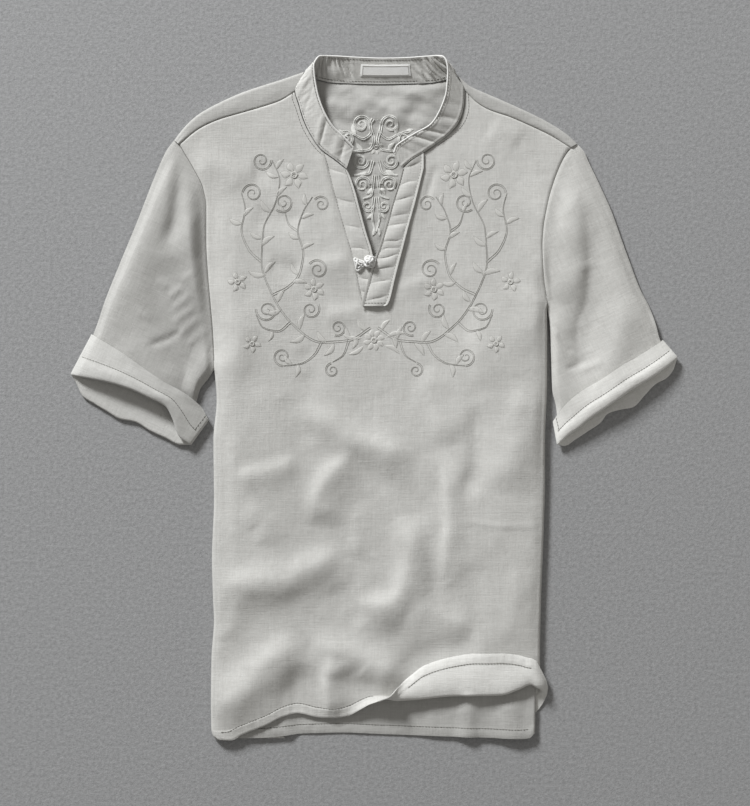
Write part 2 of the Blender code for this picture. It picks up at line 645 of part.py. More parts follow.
MOUTH_TOP_RIGHT = path(
    (204, -48), (215, -38), (222, -33), (237.6, -20), (259.6, -5), (281.6, 10.4), (303.6, 23.6), (320, 35), (331, 44.3)
)
MOUTH_FOOT_RIGHT = path(
    (204, -49), (211, -51), (221, -45), (236, -35), (249, -26), (257, -16), (271, -11.5), (284, -9), (298, 5),
    (309, 16.5), (322, 24), (329, 34), (331, 44.3),
)
CUFF_TOP_RIGHT = path(
    (198.5, -25), (205, -14), (213.4, -4), (226.6, 6.9), (248.6, 20.1), (270.6, 35), (292.6, 47.6), (316.8, 63)
)
INNER_RIGHT = ((194.6, 75), (195.8, 42), (197, 9), (201, -9), (203, -30), (204, -48))
OUTER_RIGHT = (
    (231, 272), (236, 261), (248.6, 234.6), (261.8, 205), (272.8, 174.1), (281.6, 149.9),
    (292.6, 121.3), (303.6, 99.3), (310.2, 80.6), (315, 63), (323, 53), (331, 44.3),
)
SLEEVE_FOLDS_LEFT = table(
    "x0 y0 x1 y1 bow half_width height",
    (-214, 274, -232, 150, 6, 12, -3.5),  # hollow behind the sleeve head
    (-200, 244, -196, 150, 6, 10, 2.5),  # swell along the armhole
    (-248, 150, -250, 60, 0, 20, -2.0),
    (-252, 50, -208, 68, 2, 9, -1.2),
)
SLEEVE_FOLDS_RIGHT = table(
    "x0 y0 x1 y1 bow half_width height",
    (212, 268, 240, 130, 10, 11, -3.5),
    (206, 230, 206, 116, -12, 13, 2.5),
    (262, 130, 240, 24, 0, 18, 2.5),
    (228, 120, 222, 20, 0, 14, -1.5),
)
SLEEVE_HEIGHT = 7.2  # middle of the sleeve's upper layer
CUFF_START = 0.84  # share of the sleeve's length where the rolled cuff's edge lies


def arm_curve(edge_x, underarm, shoulder_y, sign):
    """Armhole edge of the sleeve in plan, a gap away from the body's edge."""

    def at(s):
        y = mix(underarm, shoulder_y, s)
        tangent = np.stack([edge_x(y + 0.5) - edge_x(y - 0.5), np.ones(np.shape(y))], axis=-1)
        tangent /= np.linalg.norm(tangent, axis=-1, keepdims=True)
        normal = sign * np.stack([tangent[..., 1], -tangent[..., 0]], axis=-1)
        return np.stack([edge_x(y), y], axis=-1) + normal * 1.7 * GAP

    return at



def dome(s):
    """Rise of a flattened tube's section from its fold at s = 0 over the middle to the fold at 1."""
    return np.sqrt(np.clip(1 - np.abs(2 * s - 1) ** 8, 0, 1))


def sleeve(name, sign, edge_x, underarm, shoulder_y, inner, outer, mouth_top, mouth_foot, cuff_top, folds, lift):
    armhole = arm_curve(edge_x, underarm, shoulder_y, sign)
    inner, outer = path(armhole(0.0), *inner), path(armhole(1.0), *outer)
    upper = patch(armhole, mouth_top, inner, outer)
    lower = patch(armhole, mouth_foot, inner, outer)
    arm = (arm_rows(underarm, shoulder_y) - underarm) / (shoulder_y - underarm)
    around = np.array(sorted({*arm, 0.012, 0.045, 0.988}))
    stations = np.concatenate([np.linspace(0, CUFF_START, 11), [0.89, 0.945, 1.0]])
    arm_y = mix(underarm, shoulder_y, around)

    def ring(flat_up, flat_down, top, foot, fold):
        up = np.column_stack([flat_up, mix(fold, top, dome(around))])
        down = np.column_stack([flat_down, mix(fold, foot, dome(around))])
        return np.concatenate([up, down[-2:0:-1], up[:1]])

    def heights(flat, v):
        swell = np.sin(np.pi * np.clip(around, 0, 1)) ** 1.5
        plain = SLEEVE_HEIGHT + (lift - SLEEVE_HEIGHT) * ease((v - 0.55) / 0.45) * swell
        start = front_z(edge_x(arm_y), arm_y)
        return mix(start, plain + relief(folds, flat[:, 0], flat[:, 1]), ease(v / 0.16))

    rings = []
    for v in stations:
        up, down = upper(around, 0 * around + v), lower(around, 0 * around + v)
        roll = ease((v - CUFF_START + 0.09) / 0.09)
        under = ease((v - CUFF_START) / 0.12)
        foot = FLOOR + LAYER * roll + (2 * CUFF_ROLL - LAYER) * under
        foot = mix(back_z(edge_x(arm_y), arm_y), foot, ease(v / 0.16))
        rings.append(ring(up, down, heights(up, v), foot, mix(3.2, 5.4, roll)))
    # The fold at the mouth and the cuff rolled back outside the sleeve
    last_up, last_down = upper(around, 0 * around + 1), lower(around, 0 * around + 1)
    beyond = last_up - upper(around, 0 * around + 0.98)
    lip = beyond / np.linalg.norm(beyond, axis=1, keepdims=True) * CUFF_ROLL
    out_from = np.clip(np.abs(2 * around - 1) ** 6, 0, 1)[:, None]
    for back_share, spread in ((-1, 0.5), (0.0, 1.0), (0.34, 0.8), (0.67, 0.6), (1.0, 0.48)):
        out = 2 * CUFF_ROLL * spread
        t = max(back_share, 0.0)
        up, down = mix(last_up, cuff_top(around), t), mix(last_down, cuff_top(around), t)
        if back_share < 0:
            up, down = last_up + lip, last_down + lip
        top = heights(up, mix(1.0, CUFF_START, t)) + out
        foot = np.full(len(around), FLOOR + (CUFF_ROLL if back_share < 0 else 0.0))
        away = up - up[len(around) // 2]
        away /= np.maximum(np.linalg.norm(away, axis=1, keepdims=True), 1)
        rings.append(ring(up + away * out_from * out, down + away * out_from * out, top, foot, 5.4))
    grid = np.array(rings)
    if sign < 0:
        grid = grid[:, ::-1]
    points, faces = welded([grid])
    place(name, points, faces, linen(), CLOTH)


def sleeves():
    sleeve(
        "sleeve_left", -1, left_x, UNDERARM_LEFT, 284.0, INNER_LEFT, OUTER_LEFT, MOUTH_TOP_LEFT, MOUTH_FOOT_LEFT,
        CUFF_TOP_LEFT, SLEEVE_FOLDS_LEFT, 15.0,
    )
    sleeve(
        "sleeve_right", 1, right_x, UNDERARM_RIGHT, 280.1, INNER_RIGHT, OUTER_RIGHT, MOUTH_TOP_RIGHT,
        MOUTH_FOOT_RIGHT, CUFF_TOP_RIGHT, SLEEVE_FOLDS_RIGHT, 11.0,
    )


BUTTON = (-4.6, 150.2)  # middle of the knot button
BUTTON_HALF = (6.6, 6.4, 4.2)
LOOP = (-18.0, 148.0)  # middle of the loop knot


def ball(name, middle, half, finish, around=12, up=7, lobes=4, depth=0.09):
    """A knotted ball: an ellipsoid with shallow lobes where its cords cross."""
    grid = np.zeros((up + 1, around + 1, 3))
    for i, j in np.ndindex(up + 1, around + 1):
        tilt, turn = np.pi * (i / up - 0.5), 2 * np.pi * (j % around) / around
        swell = 1 + depth * np.cos(lobes * turn) * np.cos(tilt) ** 2
        unit = np.array([np.cos(tilt) * np.cos(turn), np.cos(tilt) * np.sin(turn), np.sin(tilt)])
        grid[i, j] = np.array(middle) + np.array(half) * unit * swell
    points, faces = welded([grid[1:-1]])
    foot, head = list(range(around)), list(range((up - 2) * around, (up - 1) * around))
    faces += [foot[::-1], head]
    return place(name, points, faces, finish)


def button():
    z = float(front_z(*BUTTON)) + 2 * LAYER + CLOTH / 2 + GAP + BUTTON_HALF[2]
    ball("knot_button", (*BUTTON, z), BUTTON_HALF, cord())
    z = float(front_z(*LOOP)) + LAYER + CLOTH / 2 + GAP + 2.2
    around, tube = 14, 6
    grid = np.zeros((around + 1, tube + 1, 3))
    for i, j in np.ndindex(grid.shape[:2]):
        turn, roll = 2 * np.pi * (i % around) / around, 2 * np.pi * (j % tube) / tube
        reach = 5.4 + 1.9 * np.cos(roll)
        flare = 1 + 0.22 * np.cos(3 * turn + 0.6)
        grid[i, j] = [
            LOOP[0] + reach * flare * np.cos(turn) * 0.82,
            LOOP[1] + reach * flare * np.sin(turn) * 1.15,
            z + 1.9 * np.sin(roll),
        ]
    points, faces = welded([grid[::-1]])
    place("knot_loop", points, faces, cord())


def main():
    for old in list(bpy.data.objects):
        bpy.data.objects.remove(old)
    front()
    back()
    yoke()
    collar_band()
    label()
    plackets()
    sleeves()
    button()


main()
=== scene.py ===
"""Looks of the linen shirt that lies flat: fine cloth, hems, sewing, embroidery, light and camera.

Lengths are in millimetres until a mesh is made, in the CAD frame: X to the viewer's right, Y towards
the collar, Z up from the floor. The forms repeat part.py's named values and tables.
"""

import bpy
import numpy as np
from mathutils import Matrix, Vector


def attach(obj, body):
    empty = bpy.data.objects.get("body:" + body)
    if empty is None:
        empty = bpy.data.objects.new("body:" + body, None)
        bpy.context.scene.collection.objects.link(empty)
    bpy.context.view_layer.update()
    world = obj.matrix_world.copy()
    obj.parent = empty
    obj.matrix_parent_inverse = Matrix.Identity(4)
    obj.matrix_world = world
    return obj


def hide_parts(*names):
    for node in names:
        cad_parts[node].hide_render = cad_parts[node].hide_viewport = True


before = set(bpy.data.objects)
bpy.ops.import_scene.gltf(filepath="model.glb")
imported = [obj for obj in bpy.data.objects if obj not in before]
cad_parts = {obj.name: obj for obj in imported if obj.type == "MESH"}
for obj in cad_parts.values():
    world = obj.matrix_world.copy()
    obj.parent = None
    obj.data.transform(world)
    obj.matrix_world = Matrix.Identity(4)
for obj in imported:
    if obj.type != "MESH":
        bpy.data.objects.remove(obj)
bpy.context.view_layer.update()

MM = 0.001

# Driving dimensions, as in part.py
CLOTH = 1.0
GAP = 0.4
LAYER = CLOTH + GAP
FLOOR = CLOTH / 2
SIDE_TUCK = 76.0
SIDE_ROUND = 4.5
BACK_INSET = 6.0
BACK_ROUND = 1.6
AIR_BODY = 2.6
AIR_CHEST = 3.4
YOKE_SEAM = 231.0
SLIT_FOOT = 152.0
ROLL_RADIUS = 3.0
FLAP_REST = 2.3
BAND_WALL = 1.8
CUFF_ROLL = 1.5
YOKE_ROUND = 4.0
UNDERARM_LEFT = 33.0
UNDERARM_RIGHT = 104.0
SLEEVE_HEIGHT = 7.2
SLEEVE_LOWEST = 3.6
CUFF_START = 0.84

# Fineness of the visible cloth
STEP = 2.75
HEM_DEPTH = 11.0  # from a hem's edge to its line of stitches


def table(names, *rows):
    """A table's columns by name."""
    return dict(zip(names.split(), np.array(rows, float).reshape(-1, len(names.split())).T))


def ease(t):
    """0 below 0, 1 above 1 and smooth between."""
    t = np.clip(t, 0.0, 1.0)
    return t * t * (3 - 2 * t)


def mix(a, b, t):
    return a + (b - a) * t


def smooth(x, y):
    """Cubic through the points that doesn't overshoot them, as a function of x."""
    order = np.argsort(x)
    x, y = np.asarray(x, float)[order], np.asarray(y, float)[order]
    step, slope = np.diff(x), np.diff(y) / np.diff(x)
    tangent = np.concatenate([slope[:1], np.zeros(len(x) - 2), slope[-1:]])
    turns = slope[:-1] * slope[1:] <= 0
    flat = np.where(turns, 1.0, slope[:-1] + slope[1:])
    tangent[1:-1] = np.where(turns, 0.0, 2 * slope[:-1] * slope[1:] / flat)

    def at(q):
        q = np.clip(q, x[0], x[-1])
        i = np.clip(np.searchsorted(x, q) - 1, 0, len(step) - 1)
        t = (q - x[i]) / step[i]
        start = (1 + 2 * t) * (1 - t) ** 2 * y[i] + t * (1 - t) ** 2 * step[i] * tangent[i]
        end = t * t * (3 - 2 * t) * y[i + 1] - t * t * (1 - t) * step[i] * tangent[i + 1]
        return start + end

    return at


def path(*points):
    """Smooth curve through the points, as a function of the share of its length."""
    points = np.array(points, float)
    along = np.concatenate([[0], np.cumsum(np.linalg.norm(np.diff(points, axis=0), axis=1))])
    columns = [smooth(along / along[-1], points[:, k]) for k in range(points.shape[1])]
    return lambda t: np.stack([column(np.asarray(t, float)) for column in columns], axis=-1)


def patch(foot, head, left, right):
    """Surface between four boundary curves, as a function of u across and v up."""

    def at(u, v):
        u1, v1 = u[..., None], v[..., None]
        ruled_up = mix(foot(u), head(u), v1)
        ruled_across = mix(left(v), right(v), u1)
        corners = mix(mix(foot(0 * u), foot(0 * u + 1), u1), mix(head(0 * u), head(0 * u + 1), u1), v1)
        return ruled_up + ruled_across - corners

    return at


# Outlines of the body, from the hem up to the shoulder points
LEFT = table(
    "y x",
    (-376, -173), (-371, -177.5), (-364, -179), (-332, -179.3), (-288, -178.8), (-244, -176), (-222, -177),
    (-178, -178.2), (-112, -176), (-46, -176.6), (-2, -173), (33, -175.5), (75, -177.7), (108, -180.4),
    (141, -183.2), (174, -184.8), (210, -184.8), (231, -188.1), (252, -198), (269, -208), (279.4, -214.5),
    (284, -220),
)
RIGHT = table(
    "y x",
    (-376, 183), (-332, 183.7), (-285, 182.6), (-222, 183.7), (-178, 185.4), (-134, 187), (-90, 188.1),
    (-46, 188.1), (20, 190.3), (64, 190.3), (104, 190), (119, 188.7), (139, 186.3), (167.5, 184.8),
    (187, 185.9), (218, 191.4), (231, 195), (249, 201.3), (264, 208), (276.2, 216.2), (280.1, 223.6),
)
left_x = smooth(LEFT["y"], LEFT["x"])
right_x = smooth(RIGHT["y"], RIGHT["x"])

# Levels at which the shoulder seams and the shoulder folds meet the armholes
SEAM_END_LEFT, SEAM_END_RIGHT = 279.4, 276.2
FOLD_END_LEFT, FOLD_END_RIGHT = 284.0, 280.1
SHOULDER_SEAM_LEFT = path(
    (-214.5, 279.4), (-191.4, 297.5), (-169.4, 307.5), (-147.4, 314), (-125.4, 320.4), (-103.4, 328), (-88, 337.5)
)
SHOULDER_SEAM_RIGHT = path(
    (216.2, 276.2), (193.6, 290), (171.6, 300.5), (149.6, 310), (127.6, 317.5), (114.4, 325), (101, 338)
)
SHOULDER_FOLD_LEFT = path(
    (-219.9, 284), (-213.4, 292.9), (-202.4, 305), (-191.4, 313.8), (-169.4, 325.9), (-147.4, 335.8),
    (-125.4, 343.5), (-103.4, 350.4), (-77, 359.5),
)
SHOULDER_FOLD_RIGHT = path(
    (223.6, 280.3), (215.6, 288), (204.6, 296.2), (182.6, 308.9), (160.6, 319.3), (138.6, 329.2),
    (116.6, 338.6), (105.6, 343.8), (93, 354.8),
)
NECK_BACK = ((-66, 351.5), (-48, 347.5), (-20, 346), (6.6, 345.5), (34, 346), (61.6, 347), (81, 350))
SLIT_LEFT = path((0, SLIT_FOOT), (-8.8, 182.9), (-15.4, 207.1), (-22, 231.3), (-31.2, 251.2))
SLIT_RIGHT = path((0, SLIT_FOOT), (4.4, 163.1), (11, 185.1), (18.7, 212.6), (24.2, 229.1), (31.2, 252.2))
NECK_LEFT = path(
    (-31.2, 251.2), (-45.1, 262.8), (-58.3, 272.6), (-68.2, 286.3), (-78.1, 306.1), (-83.6, 323.7), (-88, 337.5)
)
NECK_RIGHT = path(
    (31.2, 252.2), (41.8, 261.5), (56.1, 270.2), (70.4, 280.3), (83.6, 290.4), (95.7, 306.1), (100.3, 324.8),
    (101, 338),
)

# Folds and creases: height, width of the side that faces the upper left, width of the other, then points
FRONT_FOLDS = (
    (2.4, 56, 30, (142, 240), (146, 100), (147, -60), (144, -200), (142, -330)),
    (2.8, 12, 40, (-150, 220), (-156, 60), (-154, -90), (-158, -240)),
    (4.5, 15.4, 12.1, (-81.4, 3.6), (-53.9, -21.7), (-26.4, -41.5), (12.1, -53.6), (45.1, -65.7)),
    (4, 11, 15.4, (-24.2, -56.9), (-48.4, -78.9), (-63.8, -106.4), (-70.4, -136.1)),
    (-1.3, 10, 10, (-102.3, 0.3), (-81.4, -29.4), (-66, -54.7)),
    (2.4, 8.8, 9.9, (-156.2, -85.5), (-119.9, -77.8), (-83.6, -65.7)),
    (5, 16.5, 13.2, (-182.6, -202.1), (-136.4, -198.8), (-92.4, -187.8), (-53.9, -174.6), (-28.6, -165.8)),
    (5.2, 13.2, 15.4, (33, -120.7), (37.4, -164.7), (31.9, -199.9), (12.1, -221.9), (-30.8, -231.8)),
    (3, 7.7, 11, (79.2, -56.9), (81.4, -111.9), (80.3, -177.9), (70.4, -210.9)),
    (-1.4, 9.5, 9.5, (55, -138.3), (61.6, -173.5), (70.4, -206.5), (83.6, -217.5)),
    (2.6, 13.2, 13.2, (55, 39.9), (66, -1.9), (77, -50.3)),
    (3.2, 19.8, 15.4, (162.8, 28.9), (154, -34.9), (138.6, -96.5)),
    (-2.2, 8.8, 7.7, (112.2, -6.3), (112.2, -56.9), (103.4, -117.4)),
    (0.5, 3.9, 3.3, (92.4, -138.3), (138.6, -139.4), (187, -139.4)),
    (6.2, 18.7, 17.6, (-184.8, -345.1), (-147.4, -312.1), (-112.2, -282.4), (-75.9, -265.9)),
    (5.6, 15.4, 13.2, (-75.9, -265.9), (-31.9, -274.7), (6.6, -291.2), (33, -305.5)),
    (5.0, 8.5, 13, (-48, -280), (-53, -310), (-48, -350)),
    (-2.4, 11, 9.5, (-79.2, -290.1), (-90.2, -323.1), (-92.4, -356.1)),
    (-1.6, 12, 12, (-34, -290), (-20, -312), (10, -320)),
    (-1.3, 10, 10, (-47.3, -204.3), (-33, -226.3), (-11, -251.6)),
    (2.4, 13.2, 15.4, (33, -224.1), (72.6, -239.5), (105.6, -250.5)),
    (-2.4, 13.2, 9.9, (24.2, -301.1), (63.8, -279.1), (116.6, -263.7)),
    (2, 11, 15.4, (-168.3, 244.5), (-167.2, 152.1), (-166.1, 64.1), (-163.9, -6.3)),
    (1.6, 15.4, 13.2, (-206.8, 262.1), (-174.9, 262.1), (-140.8, 240.1)),
    (-1.3, 9.9, 9.9, (-136.4, 248.9), (-112.2, 251.1)),
    (-1.6, 11, 11, (-136.4, 206), (-108.9, 199.4), (-78.1, 198.3)),
    (-1.2, 7.7, 7.7, (-114.4, 149.9), (-78.1, 141.1)),
    (1.6, 8.8, 9.9, (-85.8, 151), (-52.8, 149.9), (-24.2, 155.4)),
    (1.1, 6.6, 7.7, (-57.2, 96), (-31.9, 99.3), (-13.2, 98.2)),
    (2.2, 20.9, 14, (186, 256), (184, 190.6), (178, 124.6), (168, 53.1)),
    (1, 9.9, 9.9, (125.4, 306.1), (160.6, 288.5)),
    (-1.2, 3.3, 4.4, (53.9, 213.7), (60.5, 237.9), (67.1, 259.9)),
    (1, 4.4, 4.4, (-59.4, 275.3), (-49.5, 229.1), (-38.5, 178.5)),
    (1.1, 6.6, 7.7, (26.4, 123.5), (68.2, 136.7)),
    (-1, 9.9, 9.9, (105.6, -177.9), (112.2, -221.9), (105.6, -265.9)),
    (1.4, 11, 11, (160.6, -177.9), (151.8, -232.9), (138.6, -271.4)),
    (1.2, 9.9, 9.9, (-147.4, -117.4), (-123.2, -133.9), (-123.2, -161.4)),
    (1.3, 11, 9.9, (-24.2, -111.9), (-19.8, -144.9), (-26.4, -173.5)),
    (1.2, 8.8, 8.8, (-163.9, -265.9), (-156.2, -238.4), (-147.4, -210.9)),
    (1.4, 9.9, 11, (116.6, 108.1), (112.2, 64.1), (121, 9.1)),
    (-1.1, 8.8, 8.8, (-81.4, 58.6), (-68.2, 28.9), (-81.4, 11.3)),
    (1.2, 11, 9.9, (-156.2, 108.1), (-147.4, 64.1), (-151.8, 9.1)),
)
BACK_FOLDS = (
    (2.2, 24, 5.5, (106, -318), (103, -392)),
    (3.0, 15, 9, (150, -316), (149, -392)),
    (1.0, 12, 12, (66, -320), (58, -390)),
)
BACK_CREASES = (
    (1.5, 9, 7, (-58, 336), (-38, 322), (-12, 318)),
    (1.6, 9, 8, (-22, 338), (6, 326), (38, 316)),
    (1.4, 8, 8, (12, 322), (36, 306), (62, 300)),
    (1.2, 6, 7, (-72, 316), (-48, 304), (-30, 290)),
    (1.2, 7, 6, (-40, 282), (-18, 296), (2, 298)),
    (1.1, 6, 6, (30, 338), (52, 334), (70, 322)),
    (1.0, 6, 6, (-8, 284), (14, 282), (36, 288)),
    (0.9, 5, 5, (36, 292), (56, 284)),
    (0.6, 4, 4, (-100, -350), (-96, -376)),
    (0.5, 4, 4, (-60, -350), (-62, -376)),
    (0.6, 4, 4, (-6, -346), (-8, -376)),
    (0.5, 4, 4, (38, -348), (36, -376)),
    (0.5, 4, 4, (-130, -364), (-128, -378)),
)


# Folds broader than a small crease are taller and softer than their rows say, most on the shaded side
SMALL_CREASE = 6.0
FOLD_HEIGHT = 1.2
LIT_WIDTH = 1.25
SHADED_WIDTH = 1.9
# A ridge's crest lies this share of its lit width away from the light, unless it is as broad as a panel
CREST_SHIFT = 0.4
BROAD_RIDGE = 30.0
LIGHT_X, LIGHT_Y = -0.5, 0.87  # where the light comes from, in plan


def relief(folds, x, y, steps=7):
    """Height of all the folds at a point: each is round across, uneven along and fades towards its ends."""
    shape = np.broadcast(x, y).shape
    x, y = np.broadcast_to(x, shape).ravel(), np.broadcast_to(y, shape).ravel()
    x, y = x + 2.6 * ripple(x, y, 34), y + 2.6 * ripple(x + 400, y, 30)
    total = np.zeros(x.shape)
    for height, lit, shaded, *points in folds:
        if max(lit, shaded) > SMALL_CREASE:
            height, lit, shaded = height * FOLD_HEIGHT, lit * LIT_WIDTH, shaded * SHADED_WIDTH
        line = path(*points)(np.linspace(0, 1, steps * (len(points) - 1) + 1))
        if SMALL_CREASE < lit < BROAD_RIDGE and height > 0:
            line = line - np.array([LIGHT_X, LIGHT_Y]) * CREST_SHIFT * lit
        reach = 2.3 * max(lit, shaded)
        near = (x > line[:, 0].min() - reach) & (x < line[:, 0].max() + reach)
        near &= (y > line[:, 1].min() - reach) & (y < line[:, 1].max() + reach)
        near_x, near_y = x[near], y[near]
        best, where, faces_light = np.full(near_x.shape, np.inf), np.zeros(near_x.shape), np.zeros(near_x.shape)
        for i, (start, end) in enumerate(zip(line[:-1], line[1:])):
            dx, dy = end - start
            share = np.clip(((near_x - start[0]) * dx + (near_y - start[1]) * dy) / (dx * dx + dy * dy), 0, 1)
            off_x, off_y = near_x - start[0] - share * dx, near_y - start[1] - share * dy
            away = np.hypot(off_x, off_y)
            nearer = away < best
            where = np.where(nearer, (i + share) / (len(line) - 1), where)
            faces_light = np.where(nearer, (LIGHT_Y * off_y + LIGHT_X * off_x) / np.maximum(away, 1e-6), faces_light)
            best = np.minimum(away, best)
        width = mix(shaded, lit, ease(0.5 + faces_light))
        uneven = 1 + 0.16 * ripple(near_x + 50 * height, near_y, 30)
        fade = ease(0.12 + where / 0.3) * ease(0.12 + (1 - where) / 0.3)
        total[near] += height * fade * uneven * np.exp(-((best / width) ** 2) * 1.4)
    return total.reshape(shape)


LATTICE = np.random.default_rng(7).uniform(-1, 1, (64, 64))


def ripple(x, y, size, turn=0.0, stretch=1.0):
    """Smooth irregular ripples between -1 and 1, about size apart, longer by stretch along turn (radians)."""
    along, across = x * np.cos(turn) + y * np.sin(turn), y * np.cos(turn) - x * np.sin(turn)
    u, v = along / (size * stretch) + 900, across / size + 900
    i, j = np.floor(u).astype(int), np.floor(v).astype(int)
    fu, fv = ease(u - i), ease(v - j)
    low = mix(LATTICE[i % 64, j % 64], LATTICE[(i + 1) % 64, j % 64], fu)
    high = mix(LATTICE[i % 64, (j + 1) % 64], LATTICE[(i + 1) % 64, (j + 1) % 64], fu)
    return mix(low, high, fv)


def crumple(x, y):
    """Shallow unevenness that worn linen has everywhere."""
    wide = 0.7 * ripple(x, y, 60, 0.5, 1.8) + 0.26 * ripple(x + 300, y, 26, -0.6, 2.2)
    return wide + 0.13 * ripple(x, y + 500, 12, 1.1, 2.4) + 0.06 * ripple(x + 90, y, 6.5, 0.2, 2.0)


def tuck_width(y, underarm):
    """How far the sides are folded under."""
    return 12 + (SIDE_TUCK - 12) * ease((underarm - y) / 60)


def over_tucks(x, y, soft, reach):
    """Height of the layers turned under the back's sides: reach is how far they raise what lies on them."""
    lift = np.zeros(np.broadcast(x, y).shape)
    for inward, underarm in ((x - left_x(y), UNDERARM_LEFT), (right_x(y) - x, UNDERARM_RIGHT)):
        over = ease((tuck_width(y, underarm) + reach - inward) / soft)
        lift = np.maximum(lift, over * ease((underarm + 28 - y) / 28))
    return 2 * LAYER * lift


def back_z(x, y):
    """Middle of the back's upper layer."""
    curl = np.zeros(np.broadcast(x, y).shape)
    for inward, underarm in ((x - left_x(y), UNDERARM_LEFT), (right_x(y) - x, UNDERARM_RIGHT)):
        below = ease((underarm + 28 - y) / 28)
        curl = np.maximum(curl, ease((BACK_INSET + 14 - inward) / 12) * below)
    return FLOOR + over_tucks(x, y, 16, 20) + 1.2 * curl + np.maximum(relief(BACK_FOLDS, x, y), 0)


def front_z(x, y):
    """Middle of the front's upper layer, which spans the back's steps softly."""
    air = mix(AIR_BODY, AIR_CHEST, ease((y - 40) / 150)) * mix(0.55, 1.0, ease((y + 376) / 60))
    edge = np.minimum(x - left_x(y), right_x(y) - x)
    back = back_z(x, y)
    spanned = FLOOR + over_tucks(x, y, 90, 62) - back
    folds = relief(FRONT_FOLDS, x, y) + crumple(x, y)
    rounded = np.where(x < 0, 1.7, 0.8) * (1 - ease(edge / 9)) * ease((110 - y) / 60)
    armholes = ease((y - np.where(x < 0, UNDERARM_LEFT, UNDERARM_RIGHT) - 6) / 40)
    rise = air + np.maximum(spanned, -1.2) + folds * mix(ease((edge + 4) / 18), 1.0, armholes) - rounded
    return back + LAYER + (rise + np.hypot(rise, 1)) / 2


def inner_rumples(x, y):
    """Soft unevenness of the cloth inside the neck."""
    small = 0.7 * ripple(x, y, 15, 0.5, 1.8) + 0.75 * ripple(x + 70, y, 7, -0.4, 2.0)
    small = small + 0.4 * ripple(x, y + 70, 4, 0.3, 2.2)
    rumples = 1.6 * relief(BACK_CREASES, x, y) + small + 0.9
    return (rumples + np.hypot(rumples, 0.5)) / 2


def back_inside(x, y):
    """Middle of the back as it shows through the neck and under the front's hem."""
    return back_z(x, y) + inner_rumples(x, y) * mix(0.35, 0.8, ease((y - 140) / 40))


def side_section(across, y, inset, round_x, foot_z, top_z, inner_end):
    """One layer's section: its top, its two rounded sides and the two parts folded under."""
    y = np.broadcast_to(y, across.shape)
    below_left, below_right = ease((UNDERARM_LEFT - y) / 12), ease((UNDERARM_RIGHT - y) / 12)
    left = left_x(y) + (inset + round_x) * below_left
    right = right_x(y) - (inset + round_x) * below_right
    x = mix(left, right, np.clip(across, 0, 1))
    z = np.zeros(x.shape)
    over = (across >= 0) & (across <= 1)
    z[over] = top_z(x[over], y[over])
    normal_x, normal_z = np.zeros(x.shape), np.ones(x.shape)
    for sign, beyond, edge, underarm, below in (
        (-1, -across, left, UNDERARM_LEFT, below_left),
        (1, across - 1, right, UNDERARM_RIGHT, below_right),
    ):
        turned = beyond > 0
        beyond, edge, row_y, below = beyond[turned], edge[turned], y[turned], below[turned]
        angle = np.clip(beyond, 0, 1) * np.pi
        under = np.clip(beyond - 1, 0, 1) * (inner_end(row_y, underarm) - inset - round_x)
        x[turned] = edge + sign * (round_x * below * np.sin(angle) - under)
        z[turned] = mix(top_z(edge, row_y), foot_z, (1 - np.cos(angle)) / 2)
        normal_x[turned] = sign * np.sin(angle)
        normal_z[turned] = np.maximum(np.cos(angle), 0)
    return x, z, normal_x, normal_z


HEM = table(
    "key turn angle beyond",
    (-215, -363, 0, 12), (-195, -363, 0, 12), (-175, -364, 0, 12), (-165, -364.5, 0, 12), (-145, -357.4, 0, 12),
    (-119, -347.4, 0, 12), (-101, -338.6, 0, 12), (-85, -334.8, 0, 12), (-61, -339.5, 0, 12),
    (-45, -340.2, 0, 12), (-28.6, -337.5, 8, 12), (-16, -331.5, 28, 12), (-3, -326.5, 55, 12.5),
    (9, -326, 92, 13.5), (26, -329, 150, 25.5), (41, -328.5, 172, 34.2), (55, -327.4, 180, 42.3),
    (71.5, -325.5, 180, 46.6), (88, -324.3, 180, 49.6), (111, -323.9, 180, 52.7), (138.6, -323.2, 180, 52.4),
    (158, -317, 180, 44.4), (171.6, -311.5, 180, 35.4), (178, -315, 180, 36),
    (184.7, -318, 150, 24), (191.3, -322, 75, 12), (198, -330, 0, 22), (218, -332, 0, 40),
)
hem_turn, hem_angle, hem_beyond = (smooth(HEM["key"], HEM[name]) for name in ("turn", "angle", "beyond"))
HEM_LEVEL = -358.0


def hem_key(across):
    over = mix(-175, 178, np.clip(across, 0, 1))
    return over + 20 * np.minimum(across, 0) + 20 * np.maximum(across - 1, 0)


def front_point(across, y, out=0.0):
    """Point on the front, moved outwards by out."""
    x, z, normal_x, normal_z = side_section(across, y, 0.0, SIDE_ROUND, FLOOR, front_z, tuck_width)
    return np.stack([x + out * normal_x, y + 0 * x, z + out * normal_z], axis=-1)


def hem_pucker(key, from_edge):
    """Small ridges across a hem, between its edge and its stitches, and the hem's own thickness."""
    ridge = 0.5 + 0.5 * np.sin(key * 0.72 + 2.2 * ripple(key, 0 * key, 16))
    within = ease((HEM_DEPTH - from_edge) / 2.5) * ease(from_edge / 2.5 + 0.3)
    return within * (0.35 + 0.45 * ridge)


def front_rows(across, levels):
    """Rows of the front from the slit's foot down to where the hem starts to turn."""
    key = hem_key(across)
    warp = ease((-150 - levels) / (-150 - HEM_LEVEL))
    return front_point(across, levels + (hem_turn(key) - HEM_LEVEL) * warp)


